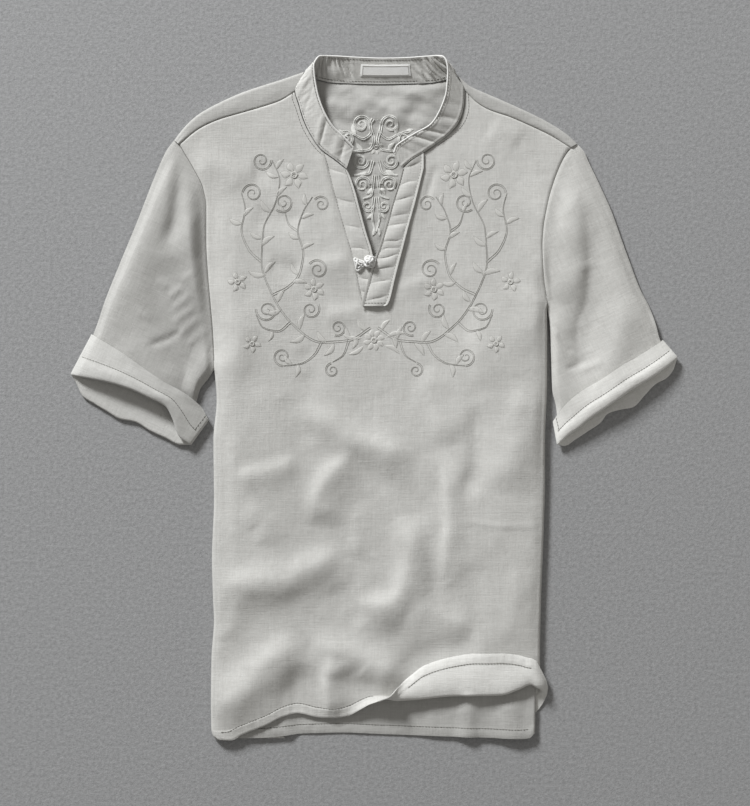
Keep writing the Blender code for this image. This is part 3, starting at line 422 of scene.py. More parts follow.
def hem_rows(across, roll_steps, flap_steps):
    """The last rows of the front, rolled up or left straight as the HEM table says."""
    key = hem_key(across[:1])
    turn, angle, beyond = hem_turn(key), np.radians(np.maximum(hem_angle(key), 0.2)), hem_beyond(key)
    arc = mix(0.4 * beyond, np.pi * ROLL_RADIUS, angle / np.pi)
    radius = arc / angle
    flat = ease((angle - np.radians(120)) / np.radians(50))
    rows = []
    for k in range(1, roll_steps + flap_steps + 1):
        part = angle * min(k, roll_steps) / roll_steps
        straight = (beyond - arc) * max(k - roll_steps, 0) / flap_steps
        y = turn - radius * np.sin(part) - straight * np.cos(angle)
        up = radius * (1 - np.cos(part))
        rest = mix(up, FLAP_REST, ease(straight / np.maximum(beyond - arc, 1)))
        up = mix(up + straight * np.sin(angle), rest, flat * (k > roll_steps))
        from_edge = beyond - arc * min(k, roll_steps) / roll_steps - straight
        side = np.where(np.cos(part) < 0, -1.0, 1.0)
        lift = up + np.where(flat > 0.5, 1.0, side) * hem_pucker(key, from_edge) * (np.abs(key) < 179)
        swell = 1.6 * flat * np.sin(np.pi * np.clip(straight / np.maximum(beyond - arc, 1), 0, 1)) ** 0.8
        rows.append(front_point(across[:1], y, lift + swell * (0.6 + 0.4 * ripple(key, 0 * key, 34)))[0])
    return np.array(rows)


def welded(grids):
    """Points and faces of several grids, with the points that they share made one."""
    filled, rings, count = [], [], 0
    for grid in grids:
        there = ~np.isnan(grid[..., 0])
        ids = np.where(there, np.cumsum(there).reshape(there.shape) - 1 + count, -1)
        filled.append(grid[there])
        count += int(there.sum())
        rings.append(np.stack([ids[:-1, :-1], ids[:-1, 1:], ids[1:, 1:], ids[1:, :-1]], axis=-1).reshape(-1, 4))
    points, rings = np.concatenate(filled), np.concatenate(rings)
    rings = rings[rings.min(axis=1) >= 0]
    whole_um = np.round(points * 1000).astype(np.int64)
    _, first, spot = np.unique(whole_um, axis=0, return_index=True, return_inverse=True)
    rings = spot.reshape(-1)[rings]
    whole = (rings[:, 0] != rings[:, 1]) & (rings[:, 1] != rings[:, 2]) & (rings[:, 2] != rings[:, 3])
    whole &= (rings[:, 3] != rings[:, 0]) & (rings[:, 0] != rings[:, 2]) & (rings[:, 1] != rings[:, 3])
    faces = rings[whole].tolist()
    for ring in rings[~whole].tolist():
        ring = list(dict.fromkeys(ring))
        if len(ring) > 2:
            faces.append(ring)
    return points[first], faces


def place(name, points, faces, finishes, node=None, wall=None, sharp=50):
    """A piece of that mesh, thickened about its surface to wall, which rides on the shirt."""
    mesh = bpy.data.meshes.new(name)
    mesh.from_pydata((np.asarray(points) * MM).tolist(), [], faces)
    for finish in finishes:
        mesh.materials.append(finish)
    piece = bpy.data.objects.new(name, mesh)
    bpy.context.scene.collection.objects.link(piece)
    if wall:
        solidify = piece.modifiers.new("Wall", "SOLIDIFY")
        solidify.thickness, solidify.offset = wall * MM, 0.0
        solidify.material_offset = len(finishes) - 1
        graph = bpy.context.evaluated_depsgraph_get()
        piece.data = bpy.data.meshes.new_from_object(piece.evaluated_get(graph))
        piece.modifiers.clear()
    piece.data.shade_smooth()
    piece.data.set_sharp_from_angle(angle=np.radians(sharp))
    if node:
        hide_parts(node)
    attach(piece, "root")
    return piece


NEAR_EDGE = np.array([0.0018, 0.004])  # extra columns beside each side


def across_steps(top, arc, under):
    right = np.concatenate([1 + np.linspace(0, 1, arc + 1)[1:], 2 + np.linspace(0, 1, under + 1)[1:]])
    over = np.unique(np.concatenate([np.linspace(0, 1, top + 1), NEAR_EDGE, 1 - NEAR_EDGE]))
    return np.concatenate([(1 - right)[::-1], over, right])


def dip(away, depth=0.9, reach=1.8):
    """How far cloth turns down beside a seam."""
    return depth * (1 - ease(away / reach))


def levels_through(stops, steps):
    """Levels from stop to stop, each stretch with its own step."""
    levels = [stops[:1]]
    for high, low, step in zip(stops, stops[1:], steps):
        levels.append(np.linspace(high, low, int(np.ceil(abs(high - low) / step)) + 1)[1:])
    return np.concatenate(levels)


def only_below_underarms(grid, across, levels):
    grid = grid.copy()
    for outside, underarm in ((across < 0, UNDERARM_LEFT), (across > 1, UNDERARM_RIGHT)):
        grid[outside & (levels > underarm + 0.01)] = np.nan
    return grid


def flange(edge, inward, depth=1.6):
    """Strip that drops from a seam's edge, as the seam's turned-in allowance does."""
    drop = edge + np.array([inward[0], inward[1], 0.0]) * 0.2
    drop[:, 2] -= depth
    return np.array([edge, drop])


def point_before_end(line, away):
    """Point of a line at a distance from its end."""
    along = np.concatenate([[0], np.cumsum(np.linalg.norm(np.diff(line[::-1], axis=0), axis=1))])
    return np.array([np.interp(away, along, line[::-1, k]) for k in range(3)])


def front(finishes, stitch):
    arc, under = 8, 7
    across = across_steps(round(357 / STEP / 2) * 2, arc, under)
    first, last = arc + under, len(across) - 1 - arc - under
    middle = (first + last) // 2
    levels = levels_through((SLIT_FOOT, UNDERARM_RIGHT, UNDERARM_LEFT, HEM_LEVEL), (STEP, STEP, STEP))
    a, y = np.meshgrid(across, levels)
    body = only_below_underarms(front_rows(a, y), a, y)
    for edge_x, underarm in ((left_x, UNDERARM_LEFT), (right_x, UNDERARM_RIGHT)):
        top = body[:, first : last + 1]
        away = np.abs(top[..., 0] - edge_x(top[..., 1]))
        top[..., 2] -= dip(away) * (levels > underarm)[:, None]
    hem = np.concatenate([body[-1:], hem_rows(a, roll_steps=9, flap_steps=18)])
    # The last columns, where the turned-up hem ends, are evened out
    ends = 19
    for _ in range(5):
        blend = mix(hem[1:, -ends - 1 : -1], (hem[1:, -ends - 2 : -2] + hem[1:, -ends:]) / 2, 0.5)
        hem[1:, -ends - 1 : -1] = mix(hem[1:, -ends - 1 : -1], blend, np.linspace(0, 1, ends)[:, None] ** 0.5)
    body[0, middle] = 0.0, SLIT_FOOT, front_z(0.0, SLIT_FOOT)
    row_left, row_right = body[0, first : middle + 1], body[0, middle : last + 1]
    upper_left = upper_front(row_left, left_x, SEAM_END_LEFT, SHOULDER_SEAM_LEFT, SLIT_LEFT, NECK_LEFT)
    upper_right = upper_front(row_right[::-1], right_x, SEAM_END_RIGHT, SHOULDER_SEAM_RIGHT, SLIT_RIGHT, NECK_RIGHT)
    grids = [body[::-1], hem[::-1], upper_left, upper_right[:, ::-1]]
    marks = []
    for low, high in ((0.015, 0.5), (0.6, 0.99)):
        columns = np.flatnonzero((across > low) & (across < high))
        marks.append(np.array([point_before_end(hem[:, k], HEM_DEPTH) for k in columns]) + [0, 0, 0.6])
    stitches("front_hem_stitches", marks, stitch, 3.0, radius=0.48)
    for column, rows, upper, turn in (
        (first, levels > UNDERARM_LEFT - 0.01, upper_left, 1),
        (last, levels > UNDERARM_RIGHT - 0.01, upper_right, -1),
    ):
        edge = np.concatenate([body[rows, column][::-1], upper[1:, 0]])
        grids.append(flange(edge, (turn, 0))[::turn])
        grids.append(flange(upper[-1], (0, -1))[:, ::-1][::turn])
    points, faces = welded(grids)
    piece = place("front_panel", points, faces, finishes, "front", wall=0.9)


def upper_front(foot_row, edge_x, shoulder_y, seam, slit, neck):
    """Half of the front above the slit's foot, from the armhole to the slit and neck."""
    share = (foot_row[:, 0] - foot_row[0, 0]) / (foot_row[-1, 0] - foot_row[0, 0])
    kink = 0.51
    v = np.concatenate([np.linspace(0, kink, 34), np.linspace(kink, 0.984, 32)[1:], [0.990, 0.995, 1.0]])

    def foot(u):
        return np.stack([mix(foot_row[0, 0], foot_row[-1, 0], u), np.full(u.shape, SLIT_FOOT)], axis=-1)

    def armhole(t):
        y = mix(SLIT_FOOT, shoulder_y, t)
        return np.stack([edge_x(y), y], axis=-1)

    def inner(t):
        low, high = slit(np.clip(t / kink, 0, 1)), neck(np.clip((t - kink) / (1 - kink), 0, 1))
        return np.where((t < kink)[..., None], low, high)

    u, v = np.meshgrid(share, v)
    flat = patch(foot, seam, armhole, inner)(mix(u, np.linspace(0, 1, len(share)), v), v)
    grid = np.concatenate([flat, front_z(flat[..., 0], flat[..., 1])[..., None]], axis=-1)
    at_armhole = dip(np.abs(flat[..., 0] - edge_x(flat[..., 1])))
    at_shoulder = dip((1 - v) * 165, 0.6, 1.3) * (v > 0.9)
    grid[..., 2] -= np.maximum(at_armhole, at_shoulder)
    grid[0] = foot_row
    return grid


HEM_BACK = table(
    "x y",
    (-178, -364), (-174, -369), (-164, -374.7), (-125, -374), (-81, -369.8), (-37, -368.7), (6.6, -370.4),
    (73, -372.6), (117, -373.7), (163, -375), (172, -374), (178, -367),
)
back_hem = smooth(HEM_BACK["x"], HEM_BACK["y"])
BACK_LEVEL = -372.0
BACK_SHOWS = -300  # from here down the front's hem may bare it


def back_point(across, y):
    x, z, _, _ = side_section(across, y, BACK_INSET, BACK_ROUND, FLOOR + LAYER, back_inside, tuck_width)
    return np.stack([x, y + 0 * x, z], axis=-1)


def back(finishes):
    arc, under = 4, 2
    across = across_steps(110, arc, under)
    # Fine where the back shows, in the slit and under the front's hem
    stops = YOKE_SEAM - 0.1, 150, UNDERARM_RIGHT, UNDERARM_LEFT, BACK_SHOWS, BACK_LEVEL
    levels = levels_through(stops, (2.6, 9, 9, 10, 2.4))
    a, y = np.meshgrid(across, levels)
    reach = mix(-175, 176, np.clip(a, 0, 1))
    y_hem = y + (back_hem(reach) - BACK_LEVEL) * ease((BACK_SHOWS - y) / (BACK_SHOWS - BACK_LEVEL))
    grid = only_below_underarms(back_point(a, y_hem), a, y)
    top = (a >= 0) & (a <= 1) & (y < BACK_SHOWS)
    grid[top, 2] += hem_pucker(reach[top] * 1.1 + 40, y_hem[top] - back_hem(reach[top])) * 0.8
    points, faces = welded([grid[::-1]])
    piece = place("back_panel", points, faces, finishes[::-1], "back", wall=0.9)


def shoulder_frame(fold, seam, t):
    outer, inner = fold(t), seam(t)
    way = (inner - outer) / np.linalg.norm(inner - outer, axis=-1, keepdims=True)
    return outer, inner - way * GAP, way


def yoke(finishes):
    shoulder, neck = np.linspace(0, 1, 61), np.linspace(0, 1, 61)
    outer_l, seam_l, way_l = shoulder_frame(SHOULDER_FOLD_LEFT, SHOULDER_SEAM_LEFT, shoulder)
    outer_r, seam_r, way_r = shoulder_frame(SHOULDER_FOLD_RIGHT, SHOULDER_SEAM_RIGHT, shoulder)
    head_l, head_r = outer_l + YOKE_ROUND * way_l, outer_r + YOKE_ROUND * way_r
    neck_curve = path(head_l[-1], *NECK_BACK, head_r[-1])(neck)
    head = np.concatenate([head_l, neck_curve[1:-1], head_r[::-1]])
    low = YOKE_SEAM + 0.1
    share = np.linspace(0, 1, len(head))
    foot = np.column_stack([mix(left_x(low), right_x(low), share), 0 * share + low])
    rows_l, rows_r = np.linspace(low, head_l[0, 1], 40), np.linspace(low, head_r[0, 1], 40)
    grid = np.zeros((len(rows_l), len(head), 3))
    for i, (row_l, row_r) in enumerate(zip(rows_l, rows_r)):
        v = i / (len(rows_l) - 1)
        grid[i, :, :2] = mix(foot, head, v)
        for side, edge_x, row in ((share < 0.3, left_x, row_l), (share > 0.7, right_x, row_r)):
            # Columns near the armholes are carried out with their edges
            column = 0 if edge_x is left_x else -1
            weight = ease(1 - np.minimum(share, 1 - share) / 0.3)[side, None]
            move = np.array([edge_x(row), row]) - grid[i, column, :2]
            grid[i, side, :2] += weight * move
    grid[-1, :, :2] = head
    inside = ease((grid[..., 1] - YOKE_SEAM) / 6) * ease((grid[-1, :, 1] - grid[..., 1]) / 5)
    inside = inside * (np.abs(grid[..., 0]) < 150)
    grid[..., 2] = FLOOR + inner_rumples(grid[..., 0], grid[..., 1]) * inside
    left, right = shoulder_wrap(head_l, seam_l, way_l), shoulder_wrap(head_r, seam_r, way_r)
    drop_l, drop_r = flange(left[-1], (0, 1)), flange(right[-1], (0, 1))
    points, faces = welded([grid, left, right[:, ::-1], drop_l, drop_r[:, ::-1]])
    piece = place("yoke_panel", points, faces, finishes[::-1], "yoke", wall=0.9)


def shoulder_wrap(head, seam, way, arc_rows=12, top_rows=9):
    """The yoke from its lower layer round the shoulder fold to the seam with the front."""
    top = front_z(seam[:, 0], seam[:, 1])
    rows = []
    for angle in np.linspace(0, np.pi, arc_rows + 1):
        flat = head - way * YOKE_ROUND * np.sin(angle)
        rows.append(np.column_stack([flat, mix(FLOOR, top, (1 - np.cos(angle)) / 2)]))
    width = np.linalg.norm(seam - head, axis=1)
    for t in np.concatenate([np.linspace(0, 0.88, top_rows)[1:], [0.93, 0.97, 1.0]]):
        flat = mix(head, seam, t)
        swell = 0.8 * np.sin(np.pi * t) * (0.7 + 0.6 * ripple(flat[:, 0], flat[:, 1], 14))
        rows.append(np.column_stack([flat, top + swell - dip((1 - t) * width, 0.6, 1.2)]))
    return np.array(rows)


BAND = table(
    "foot_x foot_y foot_z top_x top_y top_z",
    (-30.2, 253, 7.2, -22.5, 275.5, 9.3), (-44.2, 264, 7.2, -33, 286.5, 10.8), (-57.2, 273.6, 7.2, -46, 299.5, 11.8),
    (-67.2, 287, 7.2, -55.5, 316, 12.8), (-77, 306.5, 7.2, -62.3, 336, 13.3), (-82.4, 324, 7.2, -65.2, 353, 13.8),
    (-86.4, 338.5, 7.2, -66, 364, 14.8), (-77.2, 355.8, 6.6, -63.5, 371, 15.3), (-74.6, 360.2, 4, -59, 375.4, 13.3),
    (-64.8, 353.4, 1.8, -51, 376, 10.3), (-47.6, 348.7, 1.2, -42, 375.9, 9), (-20, 347.2, 1, -17.6, 374.8, 7.5),
    (6.6, 346.7, 1, 6.6, 373.9, 7), (34, 347.2, 1, 31, 374.2, 7.5), (61.6, 348.2, 1.2, 56.5, 375.6, 9),
    (79.5, 351.8, 1.8, 67.5, 376.2, 10.3), (90.4, 356, 4, 75, 375.2, 13.3), (92, 350.4, 6.6, 79.8, 368.5, 15.3),
    (99.3, 338.8, 7.2, 81, 357.5, 14.8), (99, 324.8, 7.2, 79.5, 337.5, 13.8), (94.4, 306.7, 7.2, 73, 317.5, 12.8),
    (82.8, 291.4, 7.2, 62, 300.5, 11.8), (69.8, 281.4, 7.2, 47, 292, 10.8), (55.6, 271.4, 7.2, 34.5, 284.5, 10.3),
    (41.2, 262.7, 7.2, 24.5, 277, 9.3), (30.4, 254, 7.2, 22, 270, 8.8),
)
BAND_ROWS = np.arange(len(BAND["foot_x"]))
BAND_SHAPES = {name: smooth(BAND_ROWS, column) for name, column in BAND.items()}


def band_station(t):
    """Foot and top edge of the band at row t of the table, with smooth steps between rows."""
    return [np.stack([BAND_SHAPES[end + axis](t) for axis in ("_x", "_y", "_z")], axis=-1) for end in ("foot", "top")]


def band_point(t, share, out=0.0):
    """Point on the band, a share of the way up from its foot, moved out of its inner face."""
    foot, top = band_station(t)
    normal = np.cross(band_station(t + 0.01)[0] - band_station(t - 0.01)[0], top - foot)
    normal /= np.linalg.norm(normal, axis=-1, keepdims=True)
    return mix(foot, top, share[..., None]) - np.asarray(out)[..., None] * normal


# Wrinkles across the front of the band: row of the BAND table, width in rows, height
BAND_WRINKLES = table(
    "row width height",
    (0.7, 0.16, -1.1), (1.2, 0.25, 0.9), (2.4, 0.14, -1.2), (2.8, 0.2, 0.8), (4.4, 0.2, -0.5), (5.6, 0.25, 0.5),
    (19.4, 0.2, -0.5), (20.2, 0.13, -0.9), (20.6, 0.2, 0.6), (21.3, 0.13, -1.1), (21.7, 0.2, 0.8), (22.2, 0.12, -1.2),
    (22.6, 0.25, 0.9), (23.6, 0.2, -0.6),
)


def collar_band(finishes, highlight_rim_finish):
    t, share = np.meshgrid(np.linspace(0, BAND_ROWS[-1], 420), np.linspace(0, 1, 25))
    foot, _ = band_station(t[0])
    along = np.concatenate([[0], np.cumsum(np.linalg.norm(np.diff(foot, axis=0), axis=1))])
    behind = ease((t - 7.6) / 1.2) * ease((17.4 - t) / 1.2)
    clear_of_label = 1 - ease((t - 10.7) / 0.4) * ease((13.7 - t) / 0.4)
    slant = along * np.ones(t.shape) + 17 * share
    small = 0.8 * ripple(slant, share * 26 + 40, 4.6, 1.57, 3.6) + 0.6 * ripple(slant + 60, share * 26, 2.6, 1.57, 4.4)
    wrinkle = np.zeros(t.shape)
    for row, width, height in zip(*BAND_WRINKLES.values()):
        wrinkle += height * np.exp(-(((t - row - 0.25 * (share - 0.5)) / width) ** 2))
    within = np.sin(np.pi * np.clip(share, 0.02, 0.98)) ** 0.6
    creased = (mix(0.3, 2.8, behind) * mix(0.2, 1.0, clear_of_label) * small + wrinkle * (1 - behind)) * within
    rolled = -0.5 * ease((share - 0.93) / 0.03) + 0.45 * np.exp(-(((share - 0.885) / 0.03) ** 2))
    sewn = 0.4 * np.exp(-(((share - 0.11) / 0.035) ** 2)) - 0.3 * ease((0.07 - share) / 0.04)
    grid = band_point(t, share, creased + (rolled + sewn) * mix(1, 0.3, behind))
    grid[..., 2] = np.maximum(grid[..., 2], BAND_WALL / 2 + 0.05)
    points, faces = welded([grid])
    piece = place("collar", points, faces, finishes[:1], "collar_band", wall=BAND_WALL, sharp=80)
    bevel = piece.modifiers.new("Edge", "BEVEL")
    bevel.width, bevel.segments, bevel.limit_method, bevel.angle_limit = 0.55 * MM, 2, "ANGLE", np.radians(60)
    # A pale cord along the band's top edge, lighter than the cloth: painted highlight where the rolled edge catches
    # the light
    rows = np.linspace(0.02, BAND_ROWS[-1] - 0.02, 420)
    highlight_rim = band_point(rows, 0 * rows + 1.0) + [0, 0, 0.3]
    points, faces = tube(highlight_rim, 0.95 + 0.08 * ripple(rows * 20, 0 * rows, 9), 8)
    place("collar_rim_painted_highlight", points, faces, [highlight_rim_finish], sharp=80)


def label(finish, stitch):
    t, share = np.meshgrid(np.linspace(11.16, 13.27, 40), np.linspace(0.30, 0.76, 9))
    edge = np.minimum(np.minimum(t - 11.16, 13.27 - t) * 26, np.minimum(share - 0.30, 0.76 - share) * 28)
    out = -(BAND_WALL / 2 + 0.45 + 0.35 * ease(edge / 1.5) + 0.1 * ripple(t * 27, share * 28, 9))
    points, faces = welded([band_point(t, share, out)])
    piece = place("blank_label", points, faces, [finish], "label", wall=0.5, sharp=60)
    border = []
    for low, high, side in ((11.22, 13.21, 0.36), (11.22, 13.21, 0.70)):
        line = np.linspace(low, high, 60)
        border.append(band_point(line, 0 * line + side, 0 * line - (BAND_WALL / 2 + 1.15)))
    for at in (11.24, 13.19):
        line = np.linspace(0.36, 0.70, 14)
        border.append(band_point(0 * line + at, line, 0 * line - (BAND_WALL / 2 + 1.15)))
    threads("label_border", [(line, 0.3) for line in border], stitch)


PLACKET_LEFT = table(
    "y outer inner",
    (273.0, -58.6, -40), (264.0, -55.5, -42.5), (252.2, -52.6, -30.4), (231.3, -47.5, -22), (207.1, -41, -15.4),
    (182.9, -34, -8.8), (160.9, -27.3, -2.2), (135.6, -21, 2.2), (112, -15.8, 3.4), (103, -13.4, 3.8),
)
PLACKET_RIGHT = table(
    "y outer inner",
    (253.3, 54.6, 31.4), (229.1, 48.6, 24.2), (212.6, 44.4, 18.7), (185.1, 36.8, 11), (163.1, 31.2, 4.4),
    (149.9, 27.6, -1.1), (130.1, 22.6, -6.6), (110, 17.8, -12.2), (104, 15.4, -13.7), (101.5, 12.4, -14.0),
)
HEAD_LEFT = path((-58.3, 272.2), (-45.1, 262.4), (-31.4, 250.9))
HEAD_RIGHT = path((56, 269.8), (41.8, 261.1), (31.4, 251.8))


# Creases across the strips between their two rows of stitches, from the foot up
CREASES_LEFT = (102.0, 119.0, 135.6, 151.0, 166.4, 188.4, 217.0, 245.6, 262.0, 276.0)
CREASES_RIGHT = (99.0, 114.7, 133.4, 145.5, 158.0, 166.4, 174.1, 190.6, 200.5, 219.2, 233.5, 253.0, 268.0)


def placket(name, node, shape, head, foot_y, top_y, lift, finishes, stitch, creases):
    """A strip along one side of the slit, puckered between its two lines of stitches."""
    outer, inner = smooth(shape["y"], shape["outer"]), smooth(shape["y"], shape["inner"])

    def side(x_at, end):
        return lambda v: np.stack([x_at(mix(foot_y, end, v)), mix(foot_y, end, v)], axis=-1)

    left, right = side(outer, head(0.0)[1]), side(inner, top_y)
    foot = path(left(np.array(0.0)), right(np.array(0.0)))
    corner_l, corner_r = left(np.array(1.0)), right(np.array(1.0))
    top = path(corner_l, mix(corner_l, corner_r, 0.5) + (head(0.5) - mix(head(0.0), head(1.0), 0.5)), corner_r)
    surface = patch(foot, top, left, right)
    sign = 1.0 if outer(200.0) > 0 else -1.0

    def at(u, v):
        flat = surface(u, v)
        x, y = flat[..., 0], flat[..., 1]
        level = y - 0.22 * sign * (x - sign * 25) + 1.8 * ripple(x, y, 13)
        marks = np.array(creases)
        k = np.clip(np.searchsorted(marks, level.ravel()) - 1, 0, len(marks) - 2).reshape(level.shape)
        share_up = np.clip((level - marks[k]) / (marks[k + 1] - marks[k]), 0, 1)
        strong = 0.75 + 0.35 * np.sin(k * 2.4)
        between = np.sin(np.pi * np.clip((u - 0.1) / 0.78, 0.0, 1.0)) ** 0.6
        puff = between * strong * 1.7 * (4 * share_up * (1 - share_up)) ** 0.5
        fold = 0.8 * ease((u - 0.9) / 0.05) + 0.9 * ease((0.09 - u) / 0.04)
        return np.concatenate([flat, (front_z(x, y) + lift(y) + puff + fold)[..., None]], axis=-1)

    u, v = np.meshgrid(np.linspace(0, 1, 29), np.linspace(0, 1, 190))
    grid = at(u, v)
    if sign > 0:
        grid = grid[:, ::-1]
    points, faces = welded([grid])
    piece = place(name, points, faces, finishes[:1], node, wall=0.95)
    lines = []
    for share in (0.1, 0.89):
        v = np.linspace(0.01, 0.99, 200)
        line = at(0 * v + share, v)
        line[:, 2] += 0.5
        lines.append(line)
    u = np.linspace(0.1, 0.9, 20)
    line = at(u, 0 * u + 0.02)
    line[:, 2] += 0.5
    stitches(name + "_stitches", [*lines, line], stitch, 2.9, radius=0.48)


def resampled(line, step):
    """Points of a line, about step apart."""
    gaps = np.linalg.norm(np.diff(line, axis=0), axis=1)
    along = np.concatenate([[0], np.cumsum(gaps)])
    count = max(int(along[-1] / step), 2)
    at = np.linspace(0, along[-1], count + 1)
    return np.column_stack([np.interp(at, along, line[:, k]) for k in range(3)])


def tube(line, radius, sides=6, flat=1.0):
    """Closed tube along the line; radius may vary along it. flat squeezes it in height."""
    line = np.asarray(line, float)
    way = np.gradient(line, axis=0)
    way /= np.maximum(np.linalg.norm(way, axis=1, keepdims=True), 1e-9)
    beside = np.cross(way, [0.0, 0.0, 1.0])
    beside /= np.maximum(np.linalg.norm(beside, axis=1, keepdims=True), 1e-9)
    above = np.cross(beside, way)
    turn = np.linspace(0, 2 * np.pi, sides, endpoint=False)
    radius = np.broadcast_to(radius, len(line))[:, None, None]
    ring = beside[:, None] * np.cos(turn)[None, :, None] + above[:, None] * np.sin(turn)[None, :, None] * flat
    points = (line[:, None] + radius * ring).reshape(-1, 3)
    faces = []
    for i in range(len(line) - 1):
        for j in range(sides):
            k = (j + 1) % sides
            faces.append([i * sides + j, (i + 1) * sides + j, (i + 1) * sides + k, i * sides + k])
    faces += [list(range(sides)), list(range((len(line) - 1) * sides, len(line) * sides))[::-1]]
    return points, faces


def joined(parts):
    """One mesh of several."""
    points, faces, count = [], [], 0
    for some, rings in parts:
        points.append(some)
        faces += [[n + count for n in ring] for ring in rings]
        count += len(some)
    return np.concatenate(points), faces


def threads(name, lines, finish):
    """Thin raised cords, each a line and its radius."""
    points, faces = joined([tube(line, radius, 6, 0.8) for line, radius in lines])
    return place(name, points, faces, [finish], sharp=70)


def stitches(name, lines, finish, length=2.7, pitch=3.3, radius=0.42):
    """Lines of single stitches, half sunk in the cloth."""
    parts = []
    for line in lines:
        marks = resampled(line, pitch)
        for start, end in zip(marks[:-1], marks[1:]):
            way = (end - start) / np.linalg.norm(end - start)
            middle = (start + end) / 2
            ends = np.array([middle - way * length / 2, middle, middle + way * length / 2])
            ends[[0, 2], 2] -= 0.15
            parts.append(tube(ends, [radius * 0.6, radius, radius * 0.6], 4))
    points, faces = joined(parts)
    return place(name, points, faces, [finish], sharp=70)


# Sleeves, as curves in plan, from the inner fold to the outer one
MOUTH_TOP_LEFT = path(
    (-203, -48), (-214, -40), (-221, -20), (-227.5, -8), (-246.4, 2.5), (-268.4, 12.4), (-290.4, 19), (-312.4, 23.4),
    (-330.5, 26.7),
)
MOUTH_FOOT_LEFT = path(
    (-203, -49), (-213, -50), (-230, -42.6), (-246.4, -34.9), (-262.9, -25), (-279.4, -21.7), (-292.6, -14),
    (-306.9, -5.2), (-320.1, 3.6), (-326, 16), (-330.5, 26.7),
)
CUFF_TOP_LEFT = path(
    (-183.5, -23), (-191.4, -8.5), (-202.4, 1.4), (-213.4, 9.1), (-229.9, 17.9), (-246.4, 28.9), (-268.4, 44.3),
    (-290.4, 58.6), (-309.5, 69.6),
)
INNER_LEFT = ((-183, 22), (-192, 10), (-196, -4), (-199, -26), (-203, -48))
OUTER_LEFT = (
    (-227.7, 274.2), (-233.8, 262), (-243.1, 240.1), (-260.2, 196.1), (-278.3, 152.1), (-295.9, 108.1),
    (-309, 69.6), (-321, 45), (-330.5, 26.7),
)
MOUTH_TOP_RIGHT = path(
    (204, -48), (215, -38), (222, -33), (237.6, -20), (259.6, -5), (281.6, 10.4), (303.6, 23.6), (320, 35), (331, 44.3)
)
MOUTH_FOOT_RIGHT = path(
    (204, -49), (211, -51), (221, -45), (236, -35), (249, -26), (257, -16), (271, -11.5), (284, -9), (298, 5),
    (309, 16.5), (322, 24), (329, 34), (331, 44.3),
)
CUFF_TOP_RIGHT = path(
    (198.5, -25), (205, -14), (213.4, -4), (226.6, 6.9), (248.6, 20.1), (270.6, 35), (292.6, 47.6), (316.8, 63)
)
INNER_RIGHT = ((194.6, 75), (195.8, 42), (197, 9), (201, -9), (203, -30), (204, -48))
OUTER_RIGHT = (
    (231, 272), (236, 261), (248.6, 234.6), (261.8, 205), (272.8, 174.1), (281.6, 149.9), (292.6, 121.3),
    (303.6, 99.3), (310.2, 80.6), (315, 63), (323, 53), (331, 44.3),
)
SLEEVE_FOLDS_LEFT = (
    (-4.0, 8, 7, (-209, 284), (-214, 240), (-221, 196), (-226, 158)),
    (3.4, 13.2, 6, (-196.9, 256), (-199, 205), (-196, 150), (-190, 95)),
    (-1.6, 16, 14, (-232, 160), (-236, 108.1), (-228, 66.3)),
    (-1.6, 4.4, 4.4, (-250.8, 54.2), (-229.9, 65.2), (-209, 75.1)),
    (3.4, 15.4, 8.8, (-174, 60), (-193.6, 26.7), (-208, -2)),
    (1.4, 12, 8, (-288.2, 66), (-250.8, 46), (-220, 16)),
    (0.8, 4.4, 4.4, (-226.6, 108.1), (-206.8, 121.3)),
    (0.8, 4.4, 4.4, (-224.4, 94.9), (-200.2, 112.5)),
    (0.7, 3.9, 4.4, (-222.2, 81.7), (-195.8, 99.3)),
    (0.8, 4.4, 4.4, (-215.6, 68.5), (-189.2, 88.3)),
    (0.7, 4.4, 4.4, (-206.8, 57.5), (-182.6, 77.3)),
    (0.6, 4.4, 4.4, (-211.2, 125.7), (-193.6, 141.1)),
    (0.6, 4.4, 4.4, (-262, 96), (-246, 84)),
    (0.6, 4.4, 4.4, (-238, 128), (-226, 118)),
)
SLEEVE_FOLDS_RIGHT = (
    (3.4, 22, 14, (212, 250), (216, 210), (213, 160.9), (201, 112)),
    (-2.9, 9, 12, (219, 258), (228, 232), (236, 196), (240, 150), (234, 100), (228, 50), (224, 10)),
    (-1.6, 14, 12, (226, 110), (219, 60), (218, 10)),
    (2.4, 14, 12, (276, 120), (264, 66), (250, 12)),
    (3.2, 8, 13, (201, 106), (202, 60), (202, 10), (206, -22)),
    (-0.9, 3.9, 3.9, (196.9, 81.7), (217.8, 57.5)),
    (-0.8, 3.3, 3.9, (200.2, 68.5), (220, 46.5)),
    (-0.8, 3.9, 3.9, (211.2, 28.9), (237.6, 42.1)),
    (0.7, 4.4, 4.4, (226.6, 28.9), (253, 39.9)),
    (0.7, 4.4, 4.4, (224.4, 75.1), (244.2, 90.5)),
    (0.6, 4.4, 4.4, (226, 140), (246, 150)),
)


def arm_curve(edge_x, underarm, shoulder_y, sign):
    """Armhole edge of the sleeve in plan, close beside the body's edge."""

    def at(s):
        y = mix(underarm, shoulder_y, s)
        tangent = np.stack([edge_x(y + 0.5) - edge_x(y - 0.5), np.ones(np.shape(y))], axis=-1)
        tangent /= np.linalg.norm(tangent, axis=-1, keepdims=True)
        normal = sign * np.stack([tangent[..., 1], -tangent[..., 0]], axis=-1)
        return np.stack([edge_x(y), y], axis=-1) + normal * GAP

    return at


def dome(s):
    return np.sqrt(np.clip(1 - np.abs(2 * s - 1) ** 8, 0, 1))


